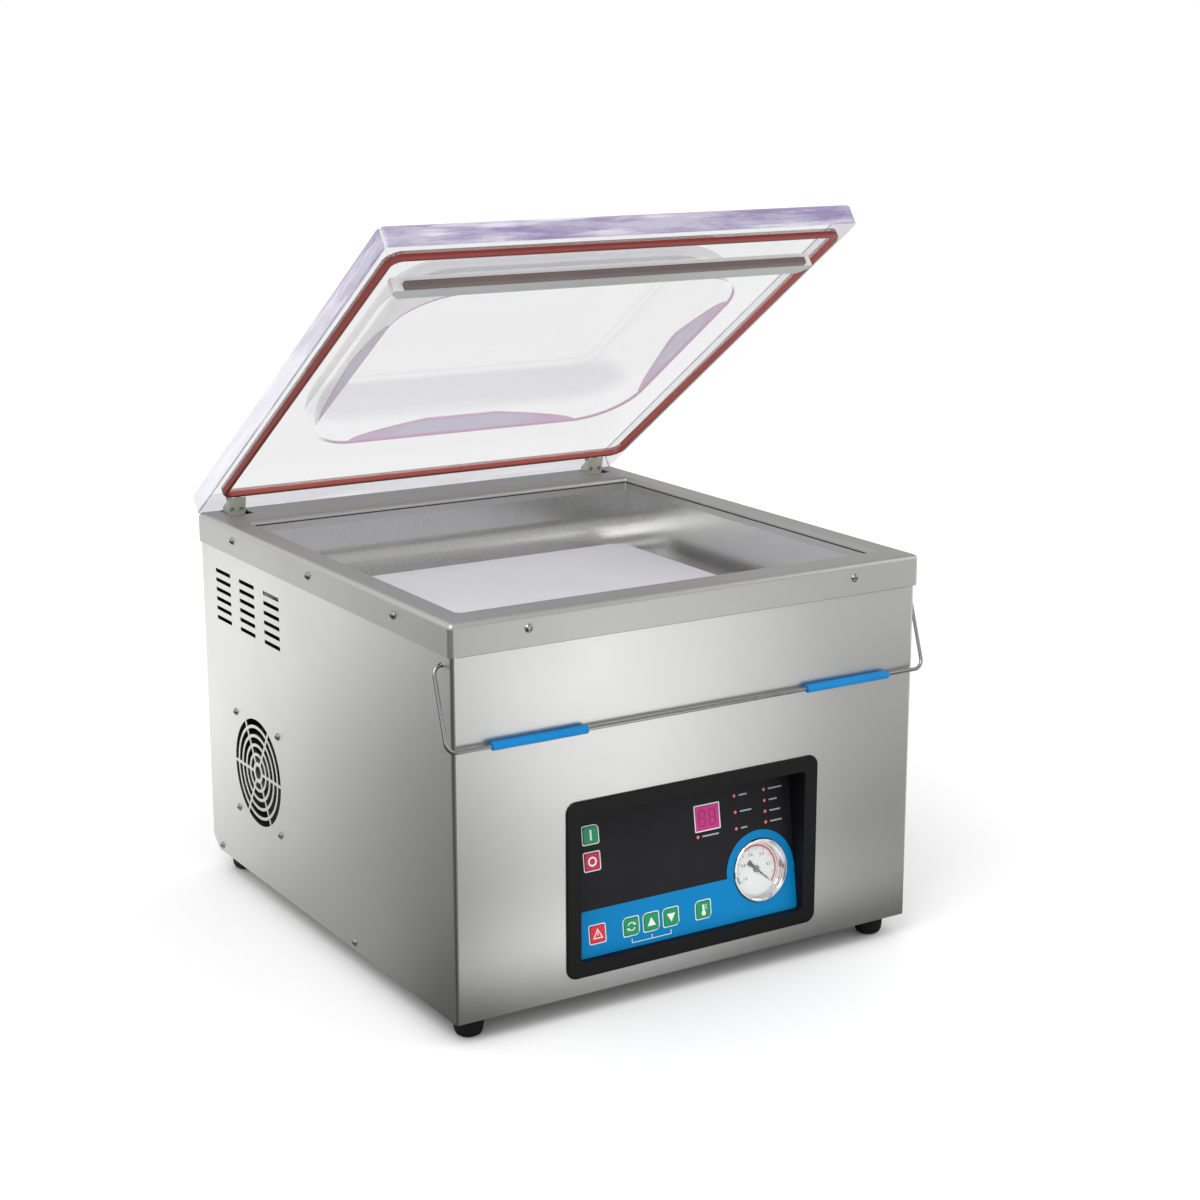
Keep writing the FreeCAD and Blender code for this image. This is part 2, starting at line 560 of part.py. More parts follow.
# ---------------------------------------------------------------- bail handle
def bail_wire():
    points = [V(-CAB_W / 2 + 4.5, BAIL_PIVOT_Y, BAIL_PIVOT_Z), V(-BAIL_X, BAIL_PIVOT_Y, BAIL_PIVOT_Z),
              V(-BAIL_X, BAIL_BAR_Y, BAIL_BAR_Z), V(BAIL_X, BAIL_BAR_Y, BAIL_BAR_Z),
              V(BAIL_X, BAIL_PIVOT_Y, BAIL_PIVOT_Z), V(CAB_W / 2 - 4.5, BAIL_PIVOT_Y, BAIL_PIVOT_Z)]
    corners = [BAIL_CROOK, BAIL_CORNER, BAIL_CORNER, BAIL_CROOK]
    edges = []
    start = points[0]
    for before, corner, after, bend in zip(points, points[1:], points[2:], corners):
        piece = tube_path([start, corner, after], bend)
        edges += piece.Edges[:2]
        start = piece.Edges[2].Vertexes[0].Point
    edges.append(Part.LineSegment(start, points[-1]).toShape())
    path = Part.Wire(edges)
    ring = Part.Wire(Part.Circle(points[0], V(1, 0, 0), BAIL_R).toShape())
    return path.makePipeShell([ring], True, False)


def bail_grips():
    grips = []
    for side in (-1, 1):
        start = V(side * GRIP_START, BAIL_BAR_Y, BAIL_BAR_Z)
        grip = cyl(GRIP_R, GRIP_END - GRIP_START, start, V(side, 0, 0))
        grip = grip.makeFillet(0.8, [e for e in grip.Edges if e.Curve.TypeId == "Part::GeomCircle"])
        grips.append(grip.cut(cyl(BAIL_R, GRIP_END - GRIP_START, start, V(side, 0, 0))))
    return group(grips)


# ---------------------------------------------------------------- control panel
KEYS = {"key_on": (-96.3, 108.5), "key_off": (-96.6, 84.8), "key_stop": (-96.8, 19.8), "key_cycle": (-61.7, 19.4),
        "key_up": (-40.6, 19.4), "key_down": (-19.5, 19.5), "key_temperature": (15.5, 19.2)}
LEDS = [(15.7, 85.6)] + [(58.0, s) for s in (116.3, 101.2, 85.8)] + [(91.0, s) for s in (116.7, 106.4, 96.3, 86.3)]
LED_R = 1.5
DISPLAY = (14.2, 39.9, 91.0, 113.4)
PLATE_LOW, PLATE_HIGH = -3.0, 139.0


def key_openings(depth):
    """Square holes for the keys, round ones for the lamps, and the display's window."""
    half = KEY / 2 + KEY_GAP
    cuts = [box(u - half, u + half, s - half, s + half, -depth, depth) for u, s in KEYS.values()]
    cuts += [cyl(LED_R, 2 * depth, V(u, s, -depth)) for u, s in LEDS]
    u0, u1, s0, s1 = DISPLAY
    cuts.append(box(u0, u1, s0, s1, -depth, depth))
    return group(cuts)


def panel_sheet(h0, h1, gauge_hole):
    sheet = box(-WIN_X - TUNNEL_WALL, WIN_X + TUNNEL_WALL, PLATE_LOW, PLATE_HIGH, h0, h1)
    sheet = sheet.cut(key_openings(12))
    return sheet.cut(cyl(gauge_hole, 20, V(GAUGE_U, GAUGE_S, -10)))


def panel_overlay():
    return on_panel(panel_sheet(-OVERLAY_T, 0, GAUGE_R - 1.4))


def panel_plate():
    return on_panel(panel_sheet(-OVERLAY_T - BACKPLATE_T, -OVERLAY_T, GAUGE_R - 1.4))


def panel_bezel():
    """Moulded frame with a tunnel that runs back to the sloping face plate."""
    face = -CAB_D / 2 - BEZEL_PROUD
    flange = slab(BEZEL_X, BEZEL_BOTTOM, BEZEL_TOP, BEZEL_CORNER, 0, BEZEL_PROUD)
    flange = flange.makeFillet(1.4, edges_at(flange, lambda p: near(p.z, BEZEL_PROUD)))
    w = TUNNEL_WALL
    tunnel = slab(WIN_X + w, WIN_BOTTOM - w, WIN_TOP + w, WIN_CORNER + w, -40, 1)
    window = slab(WIN_X, WIN_BOTTOM, WIN_TOP, WIN_CORNER, -50, 10)
    bezel = union([flange, tunnel]).cut(window)
    bezel = bezel.makeFillet(0.9, edges_at(bezel, lambda p: near(p.z, BEZEL_PROUD) and abs(p.x) < WIN_X + 0.1
                                           and WIN_BOTTOM - 0.1 < p.y < WIN_TOP + 0.1))
    upright = FreeCAD.Placement(V(0, face + BEZEL_PROUD, 0), FreeCAD.Rotation(X_AXIS, 90))
    bezel.Placement = upright
    behind = on_panel(box(-200, 200, -60, 220, -80, 0))
    return bezel.cut(behind)


def key_cap(name):
    u, s = KEYS[name]
    half = KEY / 2
    cap = box(u - half, u + half, s - half, s + half, -2.6, KEY_PROUD)
    cap = cap.makeFillet(2, edges_at(cap, lambda p: near(abs(p.x - u), half) and near(abs(p.y - s), half)))
    cap = cap.makeFillet(0.4, edges_at(cap, lambda p: near(p.z, KEY_PROUD)))
    flange = box(u - half - 1, u + half + 1, s - half - 1, s + half + 1, -3.4, -2.5)
    return on_panel(union([cap, flange]))


def display_lens():
    u0, u1, s0, s1 = DISPLAY
    return on_panel(box(u0, u1, s0, s1, -2.1, 0.3))


def led_lenses():
    lenses = [union([cyl(LED_R, 2.1, V(u, s, -2.1)),
                     Part.makeSphere(LED_R, V(u, s, -0.9)).common(box(u - 2, u + 2, s - 2, s + 2, -0.2, 3))])
              for u, s in LEDS]
    return group([on_panel(lens) for lens in lenses])


BOARD = (-112.0, 44.0, 6.0, 128.0)
BOARD_H = -8.6


def control_board():
    u0, u1, s0, s1 = BOARD
    board = box(u0, u1, s0, s1, BOARD_H - 1.6, BOARD_H)
    parts = [board, box(-60, 0, 50, 75, BOARD_H - 14, BOARD_H - 1), box(10, 40, 30, 60, BOARD_H - 18, BOARD_H - 1),
             box(-20, 30, 90, 112, BOARD_H - 8, BOARD_H - 1)]
    parts += [cyl(6, 24, V(-90 + 16 * i, 60, BOARD_H - 25)) for i in range(2)]
    u0, u1, s0, s1 = DISPLAY
    parts.append(box(u0 - 2, u1 + 2, s0 - 2, s1 + 2, BOARD_H, -2.3))
    return on_panel(union(parts))


def key_switches():
    switches = []
    for u, s in KEYS.values():
        body = box(u - 3, u + 3, s - 3, s + 3, BOARD_H, BOARD_H + 3.4)
        switches.append(on_panel(union([body, cyl(1.7, 0.9, V(u, s, BOARD_H + 3.4))])))
    return group(switches)


# ---------------------------------------------------------------- vacuum gauge
def at_gauge(shape):
    shape.translate(V(GAUGE_U, GAUGE_S, 0))
    return on_panel(shape)


def gauge_ring():
    r = GAUGE_R
    profile = [(r, 0), (r, 1.0), (r - 0.6, 1.6), (r - 1.3, 1.6), (r - 2.2, -1.2), (r - 3.0, -1.2), (r - 3.0, -3.4),
               (r - 3.8, -3.4), (r - 4.0, -5.0), (DIAL_R + 0.9, -5.0), (DIAL_R, -DIAL_DEPTH), (r - 1.4, -DIAL_DEPTH),
               (r - 1.4, 0)]
    return at_gauge(revolve(profile))


def gauge_glass():
    return at_gauge(cyl(GAUGE_R - 3.0, 2.0, V(0, 0, -3.3)))


def gauge_dial():
    face = cyl(GAUGE_R - 2.6, 0.9, V(0, 0, -DIAL_DEPTH - 0.9))
    return at_gauge(union([face, cyl(0.8, 0.6, V(0, 0, -DIAL_DEPTH))]))


def gauge_case():
    depth, r = 36.0, GAUGE_R - 1.4
    shell = cyl(r, depth - DIAL_DEPTH, V(0, 0, -depth)).cut(cyl(r - 1, depth, V(0, 0, -depth + 1)))
    ledge = cyl(r - 0.5, 2, V(0, 0, -DIAL_DEPTH - 3)).cut(cyl(r - 4, 4, V(0, 0, -DIAL_DEPTH - 4)))
    ledge = ledge.common(cyl(r, 1.9, V(0, 0, -DIAL_DEPTH - 2.9)))
    nipple = cyl(5, 16, V(0, -10, -depth - 15)).fuse(cyl(7, 6, V(0, -10, -depth - 6)))
    return at_gauge(union([shell, ledge, nipple]))


def gauge_needle():
    """Tapered pointer with a round hub and a broad tail, just above the dial."""
    h0, h1 = -DIAL_DEPTH + 0.7, -DIAL_DEPTH + 1.2
    outline = [V(-11, -2.6, h0), V(-3, -1.0, h0), V(17.5, -0.25, h0), V(17.5, 0.25, h0), V(-3, 1.0, h0), V(-11, 2.6, h0)]
    pointer = Part.Face(Part.makePolygon(outline + outline[:1])).extrude(V(0, 0, h1 - h0))
    needle = union([pointer, cyl(3.2, h1 - h0, V(0, 0, h0)), cyl(1.5, 1.2, V(0, 0, h0))])
    needle.rotate(V(0, 0, 0), Z_AXIS, NEEDLE_ANGLE)
    return at_gauge(needle)


# ---------------------------------------------------------------- sealing gear
def seal_bar():
    half = SEAL_BAR_W / 2
    bar = box(-SEAL_X, SEAL_X, SEAL_Y - half, SEAL_Y + half, SEAL_BOTTOM, SEAL_TOP)
    bar = bar.cut(box(-SEAL_X - 1, SEAL_X + 1, SEAL_Y - half - 1, SEAL_Y - half + 2, SEAL_BOTTOM + 5, SEAL_BOTTOM + 9))
    return bar.cut(box(-SEAL_X - 1, SEAL_X + 1, SEAL_Y + half - 2, SEAL_Y + half + 1, SEAL_BOTTOM + 5, SEAL_BOTTOM + 9))


def seal_wires():
    return group([box(-STRIP_X, STRIP_X, SEAL_Y + y - 1.3, SEAL_Y + y + 1.3, SEAL_TOP, SEAL_TOP + WIRE_T)
                  for y in (-3.0, 3.0)])


def seal_tape():
    half = SEAL_BAR_W / 2
    tape = box(-SEAL_X + 1, SEAL_X - 1, SEAL_Y - half - TAPE_T, SEAL_Y + half + TAPE_T, SEAL_TOP - 9,
               SEAL_TOP + WIRE_T + TAPE_T)
    return tape.cut(seal_bar()).cut(seal_wires())


def seal_rods():
    return group([cyl(SEAL_ROD_R, SEAL_BOTTOM - 262, V(side * SEAL_ROD_X, SEAL_Y, 262)) for side in (-1, 1)])


def seal_cylinders():
    cylinders = []
    for side in (-1, 1):
        base = V(side * SEAL_ROD_X, SEAL_Y, 248)
        body = union([cyl(18, 50, base), cyl(11, 75, base)])
        body = body.cut(cyl(SEAL_ROD_R + RUN_GAP, 80, base + V(0, 0, 13)))
        cylinders.append(body.cut(tub_block(RIM_T, COLLAR_BOTTOM)))
    return group(cylinders)


# ---------------------------------------------------------------- vacuum gear
PUMP = (-110.0, 0.0, 50.0, 190.0, 30.0, 190.0)
MOTOR_Y, MOTOR_Z, MOTOR_R, MOTOR_L, MOTOR_SHAFT_R = 120.0, 112.0, 62.0, 176.0, 8.0
HOSE_R, HOSE_BORE, HOSE_BEND = 7.0, 4.5, 30.0
VALVE_X, VALVE_Z = -65.0, 232.0


def suction_port():
    inside = cyl(13, 4, V(-CH_X, PORT_Y, PORT_Z), X_AXIS)
    stem = cyl(PORT_R, 6, V(-CH_X - 5, PORT_Y, PORT_Z), X_AXIS)
    elbow = box(-CH_X - 20, -CH_X - RIM_T, PORT_Y - 9, PORT_Y + 9, PORT_Z - 15, PORT_Z + 9)
    bore = cyl(5, 30, V(-CH_X - 12, PORT_Y, PORT_Z), X_AXIS)
    return union([inside, stem, elbow]).cut(bore)


def suction_hose():
    x = -CH_X - 11
    points = [V(x, PORT_Y, PORT_Z - 15), V(x, PORT_Y, VALVE_Z), V(VALVE_X - 20, PORT_Y, VALVE_Z)]
    return rod(points, HOSE_BEND, HOSE_R, HOSE_BORE)


def vacuum_valve():
    body = box(VALVE_X - 20, VALVE_X + 20, 42, 78, PUMP[5], 250)
    coil = cyl(16, 42, V(VALVE_X, 60, 250))
    return union([body, coil, cyl(5, 6, V(VALVE_X, 60, 292 - 1))])


def air_valve():
    body = cyl(17, 30, V(AIR_X, AIR_Y, CH_FLOOR - RIM_T - 30))
    coil = box(AIR_X - 15, AIR_X + 15, AIR_Y - 20, AIR_Y + 20, 238, CH_FLOOR - RIM_T - 30)
    spigot = cyl(AIR_R - 0.1, 6, V(AIR_X, AIR_Y, CH_FLOOR - RIM_T - 3))
    return union([body, coil, spigot])


def pump_housing():
    x0, x1, y0, y1, z0, z1 = PUMP
    body = box(x0, x1, y0, y1, z0, z1)
    body = body.makeFillet(8, edges_at(body, lambda p: near(abs(p.y - (y0 + y1) / 2), (y1 - y0) / 2)
                                       and near(abs(p.z - (z0 + z1) / 2), (z1 - z0) / 2)))
    fins = [box(x0 - 8, x0, y0 + 12 + 14 * i, y0 + 17 + 14 * i, z0 + 30, z1 - 12) for i in range(9)]
    pads = [box(x0 + 10, x1 - 10, y, y + 24, CAB_BOTTOM + 1.5, z0) for y in (y0 + 6, y1 - 30)]
    body = union([body] + fins + pads)
    return body.cut(cyl(MOTOR_SHAFT_R + RUN_GAP, 40, V(-12, MOTOR_Y, MOTOR_Z), X_AXIS))


def exhaust_filter():
    canister = box(-105, -15, 100, 184, PUMP[5], 236)
    return canister.makeFillet(9, edges_at(canister, lambda p: not near(p.z, PUMP[5])))


def oil_sight_glass():
    return cyl(13, 4, V(-55, PUMP[2] - 4, 70), Y_AXIS)


def motor_housing():
    base = V(0, MOTOR_Y, MOTOR_Z)
    fins = []
    for i in range(20):
        fin = box(12, MOTOR_L - 12, MOTOR_Y - 1.2, MOTOR_Y + 1.2, MOTOR_Z + MOTOR_R - 2, MOTOR_Z + MOTOR_R + 7)
        fin.rotate(base, X_AXIS, 18 * i)
        fins.append(fin)
    shell = union([cyl(MOTOR_R, MOTOR_L, base, X_AXIS)] + fins)
    foot = box(40, 140, MOTOR_Y - 45, MOTOR_Y + 45, CAB_BOTTOM + 1.5, MOTOR_Z - MOTOR_R + 12)
    shell = union([shell, foot]).cut(cyl(MOTOR_R - 9, MOTOR_L - 6, base, X_AXIS))
    return shell.cut(cyl(MOTOR_SHAFT_R + RUN_GAP, MOTOR_L + 10, base, X_AXIS))


def motor_fan_cover():
    base = V(MOTOR_L, MOTOR_Y, MOTOR_Z)
    cover = cyl(MOTOR_R, 38, base, X_AXIS).cut(cyl(MOTOR_R - 1.5, 36.5, base, X_AXIS))
    for i in range(12):
        hole = cyl(6, 10, V(MOTOR_L + 32, MOTOR_Y, MOTOR_Z + 38), X_AXIS)
        hole.rotate(base, X_AXIS, 30 * i)
        cover = cover.cut(hole)
    return cover


def motor_rotor():
    """Shaft, armature and the cooling fan on the shaft's free end."""
    base = V(-8, MOTOR_Y, MOTOR_Z)
    parts = [cyl(MOTOR_SHAFT_R, MOTOR_L + 32, base, X_AXIS), cyl(46, 120, V(25, MOTOR_Y, MOTOR_Z), X_AXIS),
             cyl(18, 20, V(MOTOR_L + 6, MOTOR_Y, MOTOR_Z), X_AXIS)]
    for i in range(8):
        blade = box(MOTOR_L + 8, MOTOR_L + 24, MOTOR_Y - 1, MOTOR_Y + 1, MOTOR_Z + 15, MOTOR_Z + 52)
        blade.rotate(base, X_AXIS, 45 * i)
        parts.append(blade)
    return union(parts)


def transformer():
    core = box(120, 200, -130, -66, CAB_BOTTOM + 1.5, 95)
    coil = box(133, 187, -142, -54, 40, 82)
    coil = coil.makeFillet(6, coil.Edges)
    return union([core, coil])


def power_inlet():
    """Mains appliance inlet with three flat pins in a shrouded socket."""
    face = CAB_D / 2
    flange = box(INLET_X - 25, INLET_X + 25, face, face + 2.5, INLET_Z - 14, INLET_Z + 14)
    flange = flange.makeFillet(4, edges_at(flange, lambda p: near(abs(p.x - INLET_X), 25) and near(abs(p.z - INLET_Z), 14)))
    body = union([flange, box(INLET_X - 13.5, INLET_X + 13.5, face - 26, face + 1, INLET_Z - 9.8, INLET_Z + 9.8)])
    socket = box(INLET_X - 12, INLET_X + 12, face - 15, face + 5, INLET_Z - 8.3, INLET_Z + 8.3)
    pins = [box(INLET_X + dx - 1, INLET_X + dx + 1, face - 16, face - 2, INLET_Z + dz - 2, INLET_Z + dz + 2)
            for dx, dz in ((-7, -1.5), (7, -1.5), (0, -5.4))]
    return union([body.cut(socket)] + pins)


def screws(places):
    return group([screw(place, direction) for place, direction in places])


# ---------------------------------------------------------------- write every piece
os.makedirs("parts", exist_ok=True)

PIECES = {
    "top_rim": top_rim, "chamber_tub": chamber_tub, "filler_plate": filler_plate,
    "cabinet_wrap": cabinet_wrap, "rear_panel": rear_panel, "base_tray": base_tray, "feet": feet,
    "rim_screws": lambda: screws(rim_screw_places()), "base_screws": lambda: screws(base_screw_places()),
    "fan_screws": lambda: screws(fan_screw_places()), "fan_frame": fan_frame, "fan_impeller": fan_impeller,
    "lid_panel": lid_panel, "lid_gasket": lid_gasket, "counter_bar_holder": counter_bar_holder,
    "counter_strip": counter_strip, "hinge_blocks": hinge_blocks, "hinge_screws": hinge_screws,
    "hinge_brackets": hinge_brackets, "hinge_shaft": hinge_shaft, "hinge_springs": hinge_springs,
    "lid_switch": lid_switch, "bail_wire": bail_wire, "bail_grips": bail_grips,
    "panel_bezel": panel_bezel, "panel_overlay": panel_overlay, "panel_plate": panel_plate,
    "display_lens": display_lens, "led_lenses": led_lenses, "control_board": control_board,
    "key_switches": key_switches, "gauge_ring": gauge_ring, "gauge_glass": gauge_glass,
    "gauge_dial": gauge_dial, "gauge_case": gauge_case, "gauge_needle": gauge_needle,
    "seal_bar": seal_bar, "seal_wires": seal_wires, "seal_tape": seal_tape, "seal_rods": seal_rods,
    "seal_cylinders": seal_cylinders, "suction_port": suction_port, "suction_hose": suction_hose,
    "vacuum_valve": vacuum_valve, "air_valve": air_valve, "pump_housing": pump_housing,
    "exhaust_filter": exhaust_filter, "oil_sight_glass": oil_sight_glass, "motor_housing": motor_housing,
    "motor_fan_cover": motor_fan_cover, "motor_rotor": motor_rotor, "transformer": transformer,
    "power_inlet": power_inlet,
}

for name, make in PIECES.items():
    save(name, make())
for name in KEYS:
    save(name, key_cap(name))
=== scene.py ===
"""Looks of the chamber vacuum packing machine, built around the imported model. Metres, same frame."""
import math
import bmesh
import bpy
from mathutils import Matrix, Vector


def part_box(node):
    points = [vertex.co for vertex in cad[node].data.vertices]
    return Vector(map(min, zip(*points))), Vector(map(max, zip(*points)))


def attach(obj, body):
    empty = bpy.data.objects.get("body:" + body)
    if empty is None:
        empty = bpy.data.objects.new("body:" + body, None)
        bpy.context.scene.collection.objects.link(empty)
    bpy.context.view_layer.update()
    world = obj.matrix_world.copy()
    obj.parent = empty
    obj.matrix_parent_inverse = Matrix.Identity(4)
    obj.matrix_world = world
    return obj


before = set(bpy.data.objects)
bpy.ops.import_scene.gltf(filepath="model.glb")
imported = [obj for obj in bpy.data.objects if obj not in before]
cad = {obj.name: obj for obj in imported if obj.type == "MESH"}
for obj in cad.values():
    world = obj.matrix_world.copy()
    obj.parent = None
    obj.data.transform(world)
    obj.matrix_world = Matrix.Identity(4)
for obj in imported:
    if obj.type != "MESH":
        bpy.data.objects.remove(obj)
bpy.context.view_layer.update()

MM = 0.001

# ---------------------------------------------------------------- places taken from the model
PANEL_TILT = math.radians(8.3)
PANEL_Y, PANEL_Z = -257.8, 50.5
LID_OPEN = math.radians(34.5)
PIVOT_Y, PIVOT_Z = 252.2, 360.7
PIVOT = Vector((0, PIVOT_Y, PIVOT_Z)) * MM
LID_FACE, LID_FRONT, LID_BACK, LID_HALF = 378.2, -265.7, 263.0, 244.5
GAUGE_U, GAUGE_S, DIAL_H = 81.3, 43.1, -7.2
BEVEL = 1.5
DOME_MIDDLE, DOME_HALF, DOME_CORNER = -25.5, (181.0, 146.5), 56.0
GASKET_MIDDLE, GASKET_HALF, GASKET_CORNER = -17.0, (232.0, 232.0), 12.0

TO_PANEL = Matrix(((1, 0, 0, 0),
                   (0, math.sin(PANEL_TILT), -math.cos(PANEL_TILT), PANEL_Y * MM),
                   (0, math.cos(PANEL_TILT), math.sin(PANEL_TILT), PANEL_Z * MM),
                   (0, 0, 0, 1)))


# ---------------------------------------------------------------- materials
class Tree:
    """Small helper that builds a node material."""

    def __init__(self, name):
        self.material = bpy.data.materials.new(name)
        self.material.use_nodes = True
        self.nodes = self.material.node_tree.nodes
        self.links = self.material.node_tree.links
        self.shader = self.nodes["Principled BSDF"]
        self.coords = self.nodes.new("ShaderNodeTexCoord").outputs["Object"]

    def add(self, kind, inputs=(), **props):
        node = self.nodes.new(kind)
        for key, value in props.items():
            setattr(node, key, value)
        for key, value in dict(inputs).items():
            self.put(node, key, value)
        return node

    def put(self, node, key, value):
        if isinstance(value, bpy.types.NodeSocket):
            self.links.new(value, node.inputs[key])
        else:
            node.inputs[key].default_value = value

    def set(self, **values):
        for key, value in values.items():
            self.put(self.shader, key.replace("_", " "), value)
        return self

    def noise(self, scale, stretch=(1, 1, 1), detail=3.0, rough=0.5, coords=None):
        place = self.add("ShaderNodeMapping", {"Vector": coords or self.coords, "Scale": stretch})
        return self.add("ShaderNodeTexNoise", {"Vector": place.outputs[0], "Scale": scale, "Detail": detail,
                                               "Roughness": rough}).outputs["Fac"]

    def span(self, value, low, high, start=0.0, end=1.0):
        node = self.add("ShaderNodeMapRange", {"Value": value, "From Min": start, "From Max": end,
                                               "To Min": low, "To Max": high})
        return node.outputs[0]

    def mix(self, factor, a, b):
        node = self.add("ShaderNodeMix", {"Factor": factor}, data_type="RGBA")
        for key, value in ((6, a), (7, b)):
            self.put(node, key, value)
        return node.outputs[2]

    def math(self, operation, a, b=0.0):
        return self.add("ShaderNodeMath", {0: a, 1: b}, operation=operation).outputs[0]

    def split(self, vector):
        """The three coordinates of a vector."""
        return self.add("ShaderNodeSeparateXYZ", {"Vector": vector}).outputs[:]

    def shut_lid(self):
        """Position from the hinge, and normal, as they are when the lid is shut."""
        moved = self.add("ShaderNodeVectorMath", {0: self.coords, 1: -PIVOT}, operation="ADD")
        turn = {"Rotation": (LID_OPEN, 0, 0)}
        place = self.add("ShaderNodeMapping", {"Vector": moved.outputs[0], **turn}).outputs[0]
        normal = self.add("ShaderNodeTexCoord").outputs["Normal"]
        faced = self.add("ShaderNodeMapping", {"Vector": normal, **turn}, vector_type="NORMAL").outputs[0]
        return place, faced

    def outside(self, x, y, middle, half, corner):
        """Distance outside a rounded rectangle on the shut lid, and how near a corner of it, in metres."""
        over_x = self.math("SUBTRACT", self.math("ABSOLUTE", x), (half[0] - corner) * MM)
        off = self.math("ABSOLUTE", self.math("SUBTRACT", y, (middle - PIVOT_Y) * MM))
        over_y = self.math("SUBTRACT", off, (half[1] - corner) * MM)
        out_x, out_y = self.math("MAXIMUM", over_x, 0.0), self.math("MAXIMUM", over_y, 0.0)
        squares = self.math("ADD", self.math("MULTIPLY", out_x, out_x), self.math("MULTIPLY", out_y, out_y))
        inside = self.math("MINIMUM", self.math("MAXIMUM", over_x, over_y), 0.0)
        away = self.math("ADD", self.math("SQRT", squares), inside)
        return self.math("SUBTRACT", away, corner * MM), self.math("MINIMUM", over_x, over_y)

    def bump(self, height, strength, distance):
        node = self.add("ShaderNodeBump", {"Height": height, "Strength": strength, "Distance": distance})
        self.put(self.shader, "Normal", node.outputs[0])
        return self


def rgb(r, g, b):
    return (r, g, b, 1.0)


def brushed(name, color, grain, rough=(0.26, 0.40), strength=0.10, scale=60.0, shaded_fold=None):
    """Satin brushed metal, its lines along the axis with the small stretch, with painted shade darkening it
    round the front folds.
    """
    t = Tree(name)
    fine = t.noise(scale * 12, grain, 4.0, 0.7)
    broad = t.noise(scale * 0.1, (1, 1, 1), 3.0)
    dark = tuple(c * 0.90 for c in color)
    tint = t.mix(t.span(fine, 0.0, 1.0, 0.3, 0.7), rgb(*dark), rgb(*color))
    # painted shade: the colour is darkened towards 30 % of itself in a narrow band along each front vertical
    # corner of the wrap
    if shaded_fold:
        x, y, z = t.split(t.coords)
        fold_shade = t.math("MULTIPLY", t.span(t.math("ABSOLUTE", x), 0.0, 1.0, shaded_fold[0] - 0.0022, shaded_fold[0] - 0.0012),
                      t.span(y, 1.0, 0.0, shaded_fold[1] + 0.0012, shaded_fold[1] + 0.0022))
        tint = t.mix(t.math("MULTIPLY", fold_shade, 0.8), tint, rgb(*(c * 0.3 for c in color)))
    t.set(Metallic=1.0, Base_Color=tint)
    both = t.math("ADD", t.math("MULTIPLY", fine, 0.7), t.math("MULTIPLY", broad, 0.3))
    t.set(Roughness=t.span(both, rough[0], rough[1], 0.3, 0.7))
    return t.bump(fine, strength, 0.0001).material


def moulded(name, color, rough=0.45, grain=900.0, strength=0.08, spread=0.85, coat=0.0, gloss=0.5):
    """Moulded plastic, rubber or paint with a fine skin."""
    t = Tree(name)
    skin = t.noise(grain, detail=2.0)
    cloud = t.noise(14.0, detail=4.0)
    low = tuple(c * spread for c in color)
    t.set(Base_Color=t.mix(t.span(cloud, 0.0, 1.0, 0.35, 0.65), rgb(*low), rgb(*color)))
    t.set(Roughness=t.span(skin, rough * 0.85, min(1.0, rough * 1.15), 0.3, 0.7), Coat_Weight=coat,
          Specular_IOR_Level=gloss)
    return t.bump(skin, strength, 0.0001).material


def polished(name, color, rough=0.12):
    """Bright metal with faint handling marks."""
    t = Tree(name)
    marks = t.noise(120.0, (1, 1, 1), 5.0, 0.7)
    t.set(Metallic=1.0, Base_Color=t.mix(marks, rgb(*(c * 0.93 for c in color)), rgb(*color)))
    return t.set(Roughness=t.span(marks, rough * 0.6, rough * 1.5, 0.35, 0.7)).material


